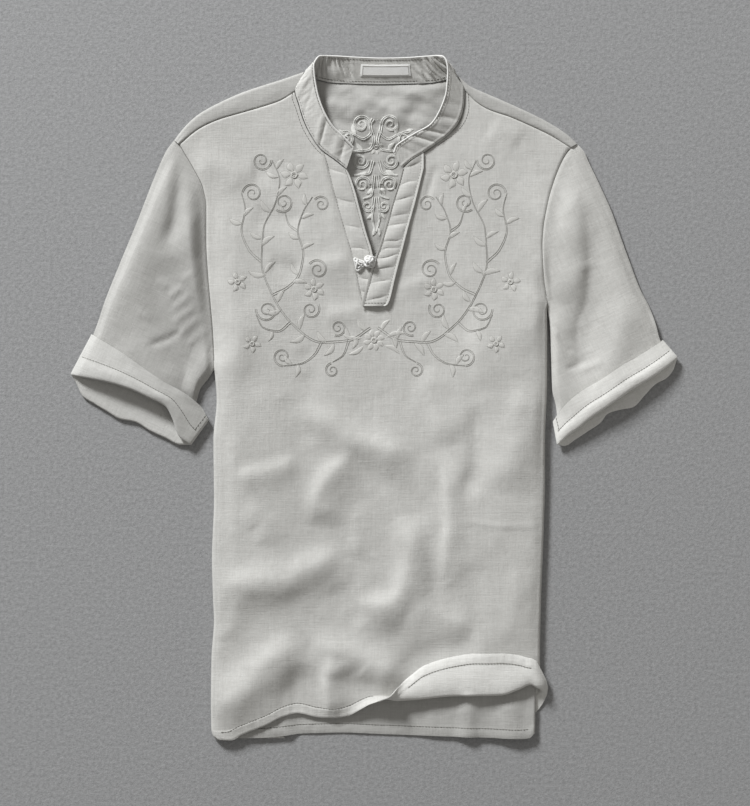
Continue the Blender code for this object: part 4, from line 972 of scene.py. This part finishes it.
def sleeve(
    name, node, sign, edge_x, underarm, shoulder_y, inner, outer, mouth_top, mouth_foot, cuff_top, folds, lift, rise,
    flat, finishes, stitch,
):
    """A tube from the armhole to the mouth and its cuff, turned back outside.

    lift is its height at the mouth, and rise is how much higher its outer side lies than its inner one.
    """
    armhole = arm_curve(edge_x, underarm, shoulder_y, sign)
    inner, outer = path(armhole(0.0), *inner), path(armhole(1.0), *outer)
    upper = patch(armhole, mouth_top, inner, outer)
    lower = patch(armhole, mouth_foot, inner, outer)
    around = np.unique(np.round((1 - np.cos(np.linspace(0, np.pi, 31))) * 0.5 * 0.4 + np.linspace(0, 1, 31) * 0.6, 5))
    around = np.unique(np.concatenate([around, np.linspace(0, 1, 61), [0.004, 0.012, 0.988, 0.996]]))
    to_cuff, to_mouth = np.linspace(0.022, CUFF_START, 74), np.linspace(CUFF_START, 1, 18)[1:]
    stations = np.concatenate([[0.0, 0.006, 0.014], to_cuff, to_mouth])
    arm_y = mix(underarm, shoulder_y, around)

    def ring(flat_up, flat_down, top, foot, fold):
        up = np.column_stack([flat_up, mix(fold, top, dome(around))])
        down = np.column_stack([flat_down, mix(fold, foot, dome(around))])
        return np.concatenate([up, down[-2:0:-1], up[:1]])

    def heights(flat, v):
        swell = np.sin(np.pi * np.clip(around, 0, 1)) ** 1.5
        plain = SLEEVE_HEIGHT + (lift - SLEEVE_HEIGHT) * ease((v - 0.55) / 0.45) * swell
        start = front_z(edge_x(arm_y), arm_y) - dip(v * 130)
        small = 1.1 * crumple(flat[:, 0] * 1.3, flat[:, 1] * 1.3) * swell
        clear = ease(np.minimum(around, 1 - around) / 0.05)
        creased = rise * np.clip((around - 0.22) / 0.7, 0, 1) * (1 - 0.65 * ease((v - 0.62) / 0.3))
        risen = plain - 1.5 + (relief(folds, flat[:, 0], flat[:, 1]) + creased) * clear + small
        risen = SLEEVE_LOWEST + (risen - SLEEVE_LOWEST + np.hypot(risen - SLEEVE_LOWEST, 0.8)) / 2
        return mix(start, risen, ease(v / 0.16))

    rings = []
    for v in stations:
        up, down = upper(around, 0 * around + v), lower(around, 0 * around + v)
        roll = ease((v - CUFF_START + 0.09) / 0.09)
        under = ease((v - CUFF_START) / 0.12)
        foot = FLOOR + LAYER * roll + (2 * CUFF_ROLL - LAYER) * under
        foot = mix(back_z(edge_x(arm_y), arm_y), foot, ease(v / 0.16))
        rings.append(ring(up, down, heights(up, v), foot, mix(3.2, 5.4, roll)))
    # The seam's turned-in edge at the armhole
    seam = rings[0].copy()
    half = len(around)
    seam[1 : half - 1, 2] -= 1.5
    rings.insert(0, seam)
    # The fold at the mouth and the cuff rolled back outside the sleeve
    last_up, last_down = upper(around, 0 * around + 1), lower(around, 0 * around + 1)
    beyond = last_up - upper(around, 0 * around + 0.98)
    lip = beyond / np.linalg.norm(beyond, axis=1, keepdims=True) * CUFF_ROLL
    out_from = np.clip(np.abs(2 * around - 1) ** 6, 0, 1)[:, None]
    cuff_lines = {}
    turned = [(angle, 0.0) for angle in (30, 60, 90, 120, 150)]
    for angle, back_share in turned + [(180, share) for share in np.linspace(0, 1, 17)]:
        slack = mix(1.0, 0.48, back_share)
        grow = (1 - np.cos(np.radians(angle))) / 2
        out = 2 * CUFF_ROLL * slack * grow
        reach = np.sin(np.radians(angle))
        up = mix(last_up, cuff_top(around), back_share) + lip * reach
        down = mix(last_down, cuff_top(around), back_share) + lip * reach
        pucker = 0.5 + 0.5 * ripple(around * 150, 0 * around + 7, 7)
        hem = (0.3 + 0.5 * ease((back_share - 0.42) / 0.12) * (0.6 + 0.4 * pucker)) * (angle == 180)
        belly = 0.9 * np.sin(np.pi * min(back_share * 2.2, 1)) * (1 + 0.5 * ripple(up[:, 0], up[:, 1], 18))
        top = heights(up, mix(1.0, CUFF_START, back_share)) + out + hem + belly
        foot = np.full(half, FLOOR + 2 * CUFF_ROLL * (1 - grow))
        away = up - up[half // 2]
        away /= np.maximum(np.linalg.norm(away, axis=1, keepdims=True), 1)
        row = ring(up + away * out_from * out, down + away * out_from * out, top, foot, 5.4)
        rings.append(row)
        if angle == 180:
            cuff_lines[round(back_share, 3)] = row[:half]
    grid = np.array(rings)
    if sign < 0:
        grid = grid[:, ::-1]
    points, faces = welded([grid])
    piece = place(name, points, faces, finishes[::-1], node, wall=0.9)
    line = cuff_lines[0.438][4:-2].copy()
    closing = np.array([row[5] for share, row in cuff_lines.items() if share > 0.4])
    for part in (line, closing):
        part[:, 2] += 0.5
    stitches(name + "_stitches", [line, closing], stitch, length=3.1, radius=0.5)


def sleeves(left_finishes, right_finishes, stitch):
    sleeve(
        "sleeve_left_cloth", "sleeve_left", -1, left_x, UNDERARM_LEFT, FOLD_END_LEFT, INNER_LEFT, OUTER_LEFT,
        MOUTH_TOP_LEFT, MOUTH_FOOT_LEFT, CUFF_TOP_LEFT, SLEEVE_FOLDS_LEFT, 15.0, 9.5, (0.29, 0.34),
        left_finishes, stitch,
    )
    sleeve(
        "sleeve_right_cloth", "sleeve_right", 1, right_x, UNDERARM_RIGHT, FOLD_END_RIGHT, INNER_RIGHT, OUTER_RIGHT,
        MOUTH_TOP_RIGHT, MOUTH_FOOT_RIGHT, CUFF_TOP_RIGHT, SLEEVE_FOLDS_RIGHT, 11.0, 3.0, (0.31, 0.335),
        right_finishes, stitch,
    )


BUTTON = (-4.6, 150.2)
LOOP = (-18.0, 148.0)


def knot(middle, half, cord_radius, bights, leads, turn):
    """A cord woven over and under itself round a ball, as a path in space."""
    u = np.linspace(0, 2 * np.pi, 260, endpoint=False)
    around = leads * u + turn
    tilt = np.pi / 2 * (0.52 + 0.44 * np.cos(bights * u))
    lift = 1 + 0.11 * np.sin(bights * u * 2 + 0.5)
    spot = np.column_stack([np.sin(tilt) * np.cos(around), np.sin(tilt) * np.sin(around), np.cos(tilt)])
    line = np.array(middle) + np.array(half) * spot * lift[:, None]
    return tube(np.concatenate([line, line[:2]]), cord_radius, 8)


LOOP_CORNERS = ((-22.3, 154.6), (-18.4, 139.2), (-8.6, 148.4))  # outer corners of the knotted loop


def rounded_ring(corners, z, shrink=0.0):
    """Closed path round the corners, in plan, with the corners rounded."""
    corners = np.array(corners, float)
    corners = mix(corners, corners.mean(axis=0), shrink)
    share = np.linspace(0, 1, 20, endpoint=False)[:, None]
    ring = np.concatenate([mix(a, b, share) for a, b in zip(corners, np.roll(corners, -1, axis=0))])
    ring = sum(np.roll(ring, k, axis=0) for k in range(-4, 5)) / 9
    turn = np.linspace(0, 6 * np.pi, len(ring), endpoint=False)
    ring = np.column_stack([ring, z + 0.35 * np.sin(turn)])
    return np.concatenate([ring, ring[:2]])


def button(finish):
    z = float(front_z(*BUTTON)) + 2 * LAYER + CLOTH / 2
    points, faces = knot((*BUTTON, z + 0.9), (5.6, 5.5, 5.2), 1.55, 4, 3, 0.3)
    place("button_knot", points, faces, [finish], "knot_button", sharp=80)
    z = float(front_z(*LOOP)) + LAYER + CLOTH
    far, near, tip = (np.array(corner) for corner in LOOP_CORNERS)
    rings = rounded_ring(LOOP_CORNERS, z + 1.0), rounded_ring(LOOP_CORNERS, z + 1.9, 0.42)
    parts = [tube(ring, radius, 8) for ring, radius in zip(rings, (1.25, 1.1))]
    for start, end in ((mix(far, near, 0.2), mix(near, tip, 0.55)), (mix(far, tip, 0.3), mix(near, far, 0.25))):
        t = np.linspace(0, 1, 14)
        strand = np.column_stack([mix(start, end, t[:, None]), z + 1.6 + 1.6 * np.sin(np.pi * t)])
        parts.append(tube(strand, 1.05, 8))
    points, faces = joined(parts)
    place("button_loop", points, faces, [finish], "knot_loop", sharp=80)


# Generic scrolling vine for the chest, right half, in plan. The left half is its mirror image.
VINES = (
    ((4, 78), (28, 64), (58, 62), (90, 82), (112, 114), (124, 150), (122, 186), (108, 218), (104, 240), (112, 262)),
    ((92, 84), (106, 74), (122, 78), (130, 92)),
    ((124, 150), (138, 164), (146, 186), (142, 208), (146, 226)),
    ((58, 62), (66, 48), (82, 38), (100, 36)),
    ((112, 114), (96, 122), (82, 138), (78, 160), (84, 184), (78, 206), (68, 222)),
    ((84, 184), (94, 192), (98, 204)),
    ((28, 64), (34, 48), (46, 40)),
)
SPIRALS = table(
    "x y radius start turns",
    (118, 97, 12, 0.1, -1.7), (134, 226, 11, 0.1, 1.6), (101, 46, 10, -1.6, 1.6), (62, 142, 11, 0.6, 1.7),
    (100, 216, 11, -0.8, -1.6), (40, 78, 9, -1.2, -1.6), (46, 31, 8, 1.4, -1.5), (124, 262, 11, 3.1, 1.6),
    (58, 214, 9, 0.6, 1.5), (70, 98, 10, 2.6, 1.6),
)
LEAVES = table(
    "x y turn length width",
    (44, 61, -0.9, 18, 7), (52, 61, 0.9, 17, 7), (76, 71, -0.5, 19, 7.5), (82, 76, 1.9, 18, 7),
    (102, 98, -0.2, 19, 7.5), (106, 106, 2.1, 16, 6.5), (119, 136, 0.2, 20, 7.5), (120, 138, 2.3, 17, 6.5),
    (124, 168, 2.5, 18, 7), (123, 176, 0.5, 16, 6), (145, 192, 0.4, 16, 6.5), (144, 200, 2.4, 15, 6),
    (114, 205, 0.9, 18, 7), (108, 222, 2.4, 16, 6.5), (105, 244, 0.4, 16, 6), (108, 252, 2.2, 14, 6),
    (90, 128, 3.2, 16, 6.5), (84, 136, 1.1, 15, 6), (80, 164, 2.7, 15, 6), (82, 176, 0.5, 14, 6),
    (80, 198, 2.8, 14, 6), (74, 212, 1.4, 14, 6), (84, 38, -1.4, 15, 6.5), (90, 37, 0.9, 14, 6),
    (20, 69, -1.3, 15, 6.5), (26, 66, 1.2, 14, 6), (112, 75, -1.2, 13, 5.5), (98, 204, 1.1, 12, 5),
)
BLOSSOMS = table(
    "x y radius petals turn",
    (88, 246, 15, 6, 0.2),
    (66, 120, 12, 6, 0.5),
    (150, 128, 11, 5, 0.1),
    (134, 60, 10, 5, 0.9),
)
# And for the inside of the back, on both sides of its middle line
INNER_MIDDLE = 2.0
INNER_SPIRALS = table(
    "x y radius start turns",
    (16, 302, 10, 3.1, -1.7), (33, 285, 9, 1.2, 1.6), (17, 262, 9, 3.1, 1.7), (15, 236, 9, 3.1, -1.6),
    (9, 212, 6.5, 3.1, 1.5), (34, 262, 7, 2.1, -1.5),
)
INNER_VINES = (
    ((3, 308), (6, 302), (5, 294), (14, 286), (28, 292), (42, 282)),
    ((5, 296), (2, 284), (8, 274), (26, 272), (40, 268)),
    ((3, 262), (8, 248), (24, 246)),
    ((2, 246), (5, 224), (14, 220)),
    ((2, 222), (4, 200), (0.8, 184)),
)
INNER_LEAVES = table(
    "x y turn length width",
    (22, 291, 1.3, 12, 5), (32, 291, 0.5, 11, 5), (14, 273, 0.9, 11, 5),
    (10, 250, -0.3, 11, 5), (4, 232, -0.8, 9, 4.5), (3, 204, -0.7, 9, 4.5), (1.5, 188, -1.3, 9, 4.5),
)


def spiral(x, y, radius, start, turns):
    t = np.linspace(0, 1, 46)
    reach = radius * (1 - 0.86 * t)
    angle = start + turns * 2 * np.pi * t
    return np.column_stack([x + reach * np.cos(angle), y + reach * np.sin(angle)])


def on_cloth(flat, z_at, above):
    return np.column_stack([flat, z_at(flat[:, 0], flat[:, 1]) + above])


def leaf_shape(length, width):
    """Share along a leaf, and its half width and bend there."""
    t = np.linspace(0, 1, 9)
    return t, width / 2 * np.sin(np.pi * t) ** 0.8 * (1 - 0.35 * t), 0.12 * length * np.sin(np.pi * t)


def turned(x, y, turn, along, beside):
    return np.column_stack(
        [x + along * np.cos(turn) - beside * np.sin(turn), y + along * np.sin(turn) + beside * np.cos(turn)]
    )


def leaf(x, y, turn, length, width, z_at, above):
    """A satin-stitched leaf: two rounded halves either side of a vein."""
    t, half, bend = leaf_shape(length, width)
    across = np.array([-1.0, -0.55, 0.0, 0.55, 1.0])
    rise = np.array([0.0, 0.85, 0.3, 0.85, 0.0])
    beside = (bend[:, None] + half[:, None] * across).ravel()
    flat = turned(x, y, turn, np.repeat(t * length, 5), beside)
    bulk = (rise * np.sin(np.pi * t)[:, None] ** 0.5).ravel()
    points = on_cloth(flat, z_at, above + bulk * 0.62)
    foot = on_cloth(flat, z_at, above - 0.4)
    faces = []
    for i in range(8):
        for j in range(4):
            a = i * 5 + j
            faces.append([a, a + 5, a + 6, a + 1])
    count = len(points)
    edge = [i * 5 for i in range(9)] + [8 * 5 + j for j in range(1, 5)]
    edge += [i * 5 + 4 for i in range(7, -1, -1)] + [3, 2, 1]
    for a, b in zip(edge, edge[1:] + edge[:1]):
        faces.append([b, a, a + count, b + count])
    faces += [[n + count for n in ring[::-1]] for ring in faces[:32]]
    return np.concatenate([points, foot]), faces


def petals_of(x, y, radius, petals, turn):
    """Each petal of a blossom as a leaf: place, turn, length and width."""
    for angle in turn + np.arange(petals) * 2 * np.pi / petals:
        start = x + 0.28 * radius * np.cos(angle), y + 0.28 * radius * np.sin(angle)
        yield *start, angle, radius * 0.75, radius * 0.62


def blossom(x, y, radius, petals, turn, z_at, above):
    """Petals round a coiled cord with a thicker ring on it."""
    parts = [leaf(*petal, z_at, above) for petal in petals_of(x, y, radius, petals, turn)]
    parts.append(tube(on_cloth(spiral(x, y, radius * 0.26, 0.0, 2.0), z_at, above + 0.2), 0.5, 6))
    t = np.linspace(0, 2 * np.pi, 13)
    ring = np.column_stack([x + radius * 0.2 * np.cos(t), y + radius * 0.2 * np.sin(t)])
    return parts + [tube(on_cloth(ring, z_at, above + 0.1), 0.8, 6)]


def embroidery(name, vines, spirals, leaves, blossoms, middle, z_at, above, finish, cord_finish, twin, cord):
    """The design and its mirror image, sewn as cords and satin leaves that lie on the cloth."""
    parts, cords = [], []
    for sign in (1, -1):
        for vine in vines:
            line = path(*vine)(np.linspace(0, 1, 100))
            way = np.gradient(line, axis=0)
            way /= np.linalg.norm(way, axis=1, keepdims=True)
            beside = np.column_stack([-way[:, 1], way[:, 0]])
            taper = np.linspace(1, 0.2, 100)[:, None]
            for side in (-0.5, 0.5):
                flat = line + beside * side * twin * taper
                cords.append(tube(on_cloth(mirrored(flat, middle, sign), z_at, above), cord, 6))
        for x, y, radius, start, turns in zip(*spirals.values()):
            for side in (-0.35, 0.35):
                flat = mirrored(spiral(x, y, radius + side * twin, start, turns), middle, sign)
                cords.append(tube(on_cloth(flat, z_at, above), np.linspace(1.1, 0.8, 46) * cord, 6))
        for x, y, turn, length, width in zip(*leaves.values()):
            one = middle + sign * x, y, turn if sign > 0 else np.pi - turn, length, width
            parts.append(leaf(*one, z_at, above - 0.05))
            cords.append(outline(*one, z_at, above - 0.1))
        for x, y, radius, petals, turn in zip(*blossoms.values()):
            flower = middle + sign * x, y, radius, int(petals), turn if sign > 0 else np.pi - turn
            parts += blossom(*flower, z_at, above - 0.05)
            cords += [outline(*petal, z_at, above - 0.1) for petal in petals_of(*flower)]
    points, faces = joined(parts)
    place(name, points, faces, [finish], sharp=60)
    points, faces = joined(cords)
    place(name + "_cords", points, faces, [cord_finish], sharp=60)


def outline(x, y, turn, length, width, z_at, above):
    """Thin cord round a leaf."""
    t, half, bend = leaf_shape(length, width)
    along = np.concatenate([t, t[::-1]]) * length
    flat = turned(x, y, turn, along, np.concatenate([bend + half, (bend - half)[::-1]]))
    keep = np.concatenate([[True], np.linalg.norm(np.diff(flat, axis=0), axis=1) > 0.05])
    return tube(on_cloth(flat[keep], z_at, above), 0.32, 4)


def mirrored(flat, middle, sign):
    flat = np.array(flat, float)
    return np.column_stack([middle + sign * flat[:, 0], flat[:, 1]])


def single_blossoms(finish):
    """Blossoms on the middle line: one under the slit's foot with leaves, one inside the back."""
    parts = blossom(0, 64, 12, 8, 0.2, front_z, 0.45)
    for sign in (1, -1):
        for turn, length in ((0.2, 24), (-0.5, 20), (0.9, 16)):
            at = turn if sign > 0 else np.pi - turn
            start = 13 * np.cos(at), 64 + 13 * np.sin(at)
            parts.append(leaf(*start, at, length, 6, front_z, 0.45))
    parts += blossom(INNER_MIDDLE, 277, 8.5, 8, 0.2, inner_z, 0.4)
    points, faces = joined(parts)
    place("single_blossoms", points, faces, [finish], sharp=60)


def inner_z(x, y):
    """Middle of the cloth inside the back: the yoke's above the seam and the back's below it."""
    return np.where(y > YOKE_SEAM, FLOOR + inner_rumples(x, y) * ease((y - YOKE_SEAM) / 6), back_inside(x, y))


def seam_shadow_cords(finish):
    """Dark cords at the bottom of the seams at the armholes and shoulders: painted shade for the seams' grooves."""
    lines = []
    for edge_x, underarm, top, sign in ((left_x, UNDERARM_LEFT, 278.5, -1), (right_x, UNDERARM_RIGHT, 275.3, 1)):
        y = np.linspace(underarm + 9, top, 160)
        x = edge_x(y)
        lines.append((np.column_stack([x + sign * 0.2, y, front_z(x, y) - 0.55]), 0.36))
    t = np.linspace(0.005, 0.995, 160)
    for seam in (SHOULDER_SEAM_LEFT, SHOULDER_SEAM_RIGHT):
        flat = seam(t)
        lines.append((np.column_stack([flat + [0, 0.4], front_z(flat[:, 0], flat[:, 1]) - 0.35]), 0.34))
    threads("seam_shadow_cords", lines, finish)


def seam_stitches(stitch):
    """Stitch lines along the back's hem, the yoke's seam and the collar."""
    x = np.linspace(-168, 170, 300)
    y = back_hem(x) + HEM_DEPTH - 1
    stitches("back_hem_stitches", [np.column_stack([x, y, back_inside(x, y) + 0.75])], stitch, 3.0, radius=0.5)
    x = np.linspace(-30, 34, 60)
    inner = np.column_stack([x, 0 * x + YOKE_SEAM + 2.2, inner_z(x, 0 * x + YOKE_SEAM + 2.2) + 0.5])
    stitches("yoke_seam_stitches", [inner, inner + [0, -4.6, 0]], stitch)
    rows = np.linspace(0.1, BAND_ROWS[-1] - 0.1, 700)
    outside = [band_point(rows, 0 * rows + share, 0 * rows + BAND_WALL / 2 + 0.1) for share in (0.08, 0.93)]
    beside = []
    for low, high in ((0.9, 6.2), (17.6, 22.2)):
        t = np.linspace(low, high, 160)
        foot, top = band_station(t)
        way = (foot - top)[:, :2]
        way /= np.linalg.norm(way, axis=1, keepdims=True)
        flat = foot[:, :2] + way * (3.2 + 3.4 * ease((t - 1) / 3) * ease((22 - t) / 3))[:, None]
        beside.append(on_cloth(flat, front_z, 0.5))
    stitches("neck_stitches", beside, stitch)
    back_rows = np.linspace(8.4, 16.6, 240)
    sunk = 0 * back_rows - BAND_WALL / 2 - 0.1
    inside = [band_point(back_rows, 0 * back_rows + share, sunk) for share in (0.1, 0.93)]
    stitches("collar_stitches", outside + inside, stitch)


def nodes_of(name, roughness):
    material = bpy.data.materials.new(name)
    material.use_nodes = True
    shader = material.node_tree.nodes["Principled BSDF"]
    shader.inputs["Roughness"].default_value = roughness
    return material, material.node_tree, shader


def linked(tree, kind, inputs=None, **settings):
    """A node with its settings, and its inputs set to values or linked from sockets."""
    node = tree.nodes.new(kind)
    for key, value in settings.items():
        setattr(node, key, value)
    for key, value in (inputs or {}).items():
        if isinstance(value, bpy.types.NodeSocket):
            tree.links.new(value, node.inputs[key])
        else:
            node.inputs[key].default_value = value
    return node


def spread(tree, value, gain, shift):
    """gain times the value, plus shift."""
    return linked(tree, "ShaderNodeMath", {0: value, 1: gain, 2: shift}, operation="MULTIPLY_ADD").outputs[0]


def total(tree, *values):
    whole = values[0]
    for value in values[1:]:
        whole = linked(tree, "ShaderNodeMath", {0: whole, 1: value}, operation="ADD").outputs[0]
    return whole


def bumped(tree, shader, *layers):
    """Bump on the shader, each layer with its height, strength and distance, the broadest first."""
    inputs = {}
    for height, strength, distance in layers:
        inputs.update({"Height": height, "Strength": strength, "Distance": distance})
        inputs["Normal"] = linked(tree, "ShaderNodeBump", inputs).outputs[0]
    tree.links.new(inputs["Normal"], shader.inputs["Normal"])


def toned(tree, shader, factor, dark, light):
    """Colour between two, by the factor."""
    inputs = {"Factor": factor, 6: (*dark, 1.0), 7: (*light, 1.0)}
    colour = linked(tree, "ShaderNodeMix", inputs, data_type="RGBA")
    tree.links.new(colour.outputs[2], shader.inputs["Base Color"])


def linen(name, dark, light, turn):
    """Plain-woven linen: threads both ways, thick and thin, with slubs and uneven colour."""
    material, tree, shader = nodes_of(name, 0.86)
    place_of = linked(tree, "ShaderNodeTexCoord").outputs["Object"]
    turned = linked(tree, "ShaderNodeMapping", {"Vector": place_of, "Rotation": (0.0, 0.0, turn)}).outputs[0]

    def noise(scale, detail=3.0, roughness=0.6):
        at = linked(tree, "ShaderNodeMapping", {"Vector": turned, "Scale": scale}).outputs[0]
        return linked(
            tree, "ShaderNodeTexNoise", {"Vector": at, "Scale": 1.0, "Detail": detail, "Roughness": roughness}
        ).outputs["Fac"]

    def wave(scale, direction):
        made = linked(
            tree, "ShaderNodeTexWave", {"Vector": turned, "Scale": scale, "Distortion": 1.2, "Detail": 1.0},
            bands_direction=direction,
        )
        return made.outputs["Fac"]

    slub_y, slub_x = noise((620.0, 26.0, 60.0)), noise((26.0, 620.0, 60.0))
    short_y, short_x = noise((900.0, 120.0, 90.0), 2.0), noise((120.0, 900.0, 90.0), 2.0)
    grain = noise((1400.0, 1400.0, 1400.0), 2.0, 0.7)
    cloud = noise((19.0, 19.0, 19.0), 4.0, 0.6)
    patches = noise((70.0, 70.0, 70.0), 3.0, 0.6)
    slubs = total(tree, slub_y, slub_x, short_y, short_x)
    tone = total(
        tree, spread(tree, slubs, 0.42, -0.34), spread(tree, grain, 0.6, -0.3), spread(tree, cloud, 0.55, -0.275),
        spread(tree, patches, 0.35, -0.175),
    )
    toned(tree, shader, tone, dark, light)
    weave = total(tree, wave(520.0, "X"), wave(470.0, "Y"))
    fine = total(tree, spread(tree, slubs, 2.2, 0.0), weave)
    broad = total(tree, patches, spread(tree, slubs, 0.15, 0.0))
    bumped(tree, shader, (broad, 0.4, 0.0009), (fine, 0.3, 0.00016))
    shader.inputs["Sheen Weight"].default_value = 0.1
    shader.inputs["Sheen Roughness"].default_value = 0.5
    return material


def thread(name, colour, roughness=0.6):
    """Twisted thread or cord, with a fine ply."""
    material, tree, shader = nodes_of(name, roughness)
    place_of = linked(tree, "ShaderNodeTexCoord").outputs["Object"]
    inputs = {"Vector": place_of, "Scale": 420.0, "Distortion": 2.0}
    ply = linked(tree, "ShaderNodeTexWave", inputs, bands_direction="DIAGONAL")
    uneven = linked(tree, "ShaderNodeTexNoise", {"Vector": place_of, "Scale": 700.0, "Detail": 2.0})
    toned(tree, shader, uneven.outputs["Fac"], [c * 0.86 for c in colour], colour)
    bumped(tree, shader, (ply.outputs["Fac"], 0.5, 0.0002))
    shader.inputs["Sheen Weight"].default_value = 0.1
    return material


def floor():
    """Plain pale surface under the shirt."""
    material, tree, shader = nodes_of("floor", 0.9)
    place_of = linked(tree, "ShaderNodeTexCoord").outputs["Object"]
    inputs = {"Vector": place_of, "Scale": 260.0, "Detail": 4.0, "Roughness": 0.8}
    speckle = linked(tree, "ShaderNodeTexNoise", inputs).outputs["Fac"]
    toned(tree, shader, speckle, [0.13] * 3, [0.50] * 3)
    bumped(tree, shader, (speckle, 0.5, 0.0012))
    mesh = bpy.data.meshes.new("floor")
    corners = [(x * 9.0, y * 9.0, 0.0) for x, y in ((-1, -1), (1, -1), (1, 1), (-1, 1))]
    mesh.from_pydata(corners, [], [[0, 1, 2, 3]])
    mesh.materials.append(material)
    ground = bpy.data.objects.new("floor", mesh)
    bpy.context.scene.collection.objects.link(ground)


def lamp(name, place_at, target, size, power, colour):
    data = bpy.data.lights.new(name, "AREA")
    data.size, data.energy, data.shape, data.color = size, power, "SQUARE", colour
    light = bpy.data.objects.new(name, data)
    light.location = place_at
    light.rotation_mode = "QUATERNION"
    light.rotation_quaternion = (Vector(target) - Vector(place_at)).to_track_quat("-Z", "Y")
    bpy.context.scene.collection.objects.link(light)


def studio():
    scene = bpy.context.scene
    world = bpy.data.worlds.new("studio")
    world.use_nodes = True
    world.node_tree.nodes["Background"].inputs["Color"].default_value = (1.0, 0.985, 0.96, 1.0)
    world.node_tree.nodes["Background"].inputs["Strength"].default_value = 0.23
    scene.world = world
    lamp("key", (-3.1, 5.0, 2.65), (0.0, 0.0, 0.0), 1.3, 640.0, (0.965, 0.98, 1.0))
    lamp("fill", (1.3, -0.6, 1.9), (0.0, 0.0, 0.0), 1.6, 3.5, (1.0, 0.98, 0.95))
    scene.view_settings.view_transform = "Standard"
    camera = bpy.data.cameras.new("camera")
    camera.lens, camera.sensor_width = 85.0, 36.0
    camera.clip_start, camera.clip_end = 0.05, 20.0
    view = bpy.data.objects.new("camera", camera)
    # The photo's frame is 750 by 806 pixels of 1.1 mm, and its middle is a little off the shirt's
    view.location = (0.0011, -0.0052, 806 * 1.1 * MM * 85 / 36 + 0.008)
    scene.collection.objects.link(view)
    scene.camera = view


def main():
    right = (0.43, 0.422, 0.395), (0.68, 0.672, 0.64)
    # Colours of the cloth's back: partly its own lighter tone, partly painted light for the turned-up hem and cuffs
    # that face the lamp
    wrong_side_painted_light = (0.56, 0.552, 0.52), (0.82, 0.812, 0.775)
    # Each with its share of brightness and the turn of its weave; shares below 1 are painted shade and shares above 1
    # painted light
    linens = {}
    for name, share, colours, turn in (
        ("linen", 1.0, right, 0.0), ("linen_wrong_side_painted_light", 1.0, wrong_side_painted_light, 0.0),
        # The left sleeve and its cuff are darkened: painted shade
        ("linen_left_sleeve_painted_shade", 0.8, right, 0.42), ("linen_left_cuff_painted_shade", 0.8, wrong_side_painted_light, 0.42),
        # The right cuff is lightened: painted light
        ("linen_right_sleeve", 1.0, right, -0.42), ("linen_right_cuff_painted_light", 1.1, wrong_side_painted_light, -0.42),
        # The inside of the back and yoke is darkened: painted shade in the neck's recess and under the front's hem
        ("linen_inside_painted_shade", 0.78, right, 0.0),
    ):
        linens[name] = linen(name, *([share * part for part in colour] for colour in colours), turn)
    # Stitch thread much darker than the cloth: the stitches plus painted shade of the grooves they sink into
    stitch_thread_painted_shade = thread("stitch_thread_painted_shade", (0.17, 0.165, 0.148))
    # Near-black cord colour: painted shade in the seams' grooves
    shadow_thread = thread("shadow_thread", (0.15, 0.145, 0.13))
    silk = thread("embroidery_thread", (0.62, 0.61, 0.575), 0.5)
    silk_line = thread("embroidery_line", (0.42, 0.412, 0.385), 0.6)
    inner_silk = thread("inner_embroidery_thread", (0.70, 0.695, 0.66), 0.5)
    knot_cord = thread("knot_cord", (0.74, 0.735, 0.71))
    tape = thread("label_tape", (0.92, 0.915, 0.89))
    border = thread("label_edge", (0.60, 0.59, 0.56))
    # Pale cord colour for the collar's top edge: painted highlight
    highlight_rim = thread("collar_rim_painted_highlight", (0.80, 0.79, 0.76))

    cloth = [linens["linen"], linens["linen_wrong_side_painted_light"]]
    front(cloth, stitch_thread_painted_shade)
    # The back and yoke wear the darkened linen: painted shade
    back([linens["linen_inside_painted_shade"]] * 2)
    yoke([linens["linen_inside_painted_shade"]] * 2)
    collar_band(cloth, highlight_rim)
    label(tape, border)
    placket(
        "placket_left_strip", "placket_left", PLACKET_LEFT, HEAD_LEFT, 103.5, 250.9, lambda y: LAYER + 0 * y,
        cloth, stitch_thread_painted_shade, CREASES_LEFT,
    )
    placket(
        "placket_right_strip", "placket_right", PLACKET_RIGHT, HEAD_RIGHT, 101.5, 251.8,
        lambda y: LAYER * (1 + ease((200 - y) / 30)), cloth, stitch_thread_painted_shade, CREASES_RIGHT,
    )
    sleeves(
        [linens["linen_left_sleeve_painted_shade"], linens["linen_left_cuff_painted_shade"]],
        [linens["linen_right_sleeve"], linens["linen_right_cuff_painted_light"]], stitch_thread_painted_shade,
    )
    button(knot_cord)
    embroidery(
        "chest_embroidery", VINES, SPIRALS, LEAVES, BLOSSOMS, 0.0, front_z, 0.5, silk, silk_line, twin=2.3, cord=0.36
    )
    embroidery(
        "inner_embroidery", INNER_VINES, INNER_SPIRALS, INNER_LEAVES, table("x y radius petals turn"),
        INNER_MIDDLE, inner_z, 0.8, inner_silk, inner_silk, twin=2.6, cord=0.6,
    )
    single_blossoms(silk)
    seam_shadow_cords(shadow_thread)
    seam_stitches(stitch_thread_painted_shade)
    floor()
    studio()


main()
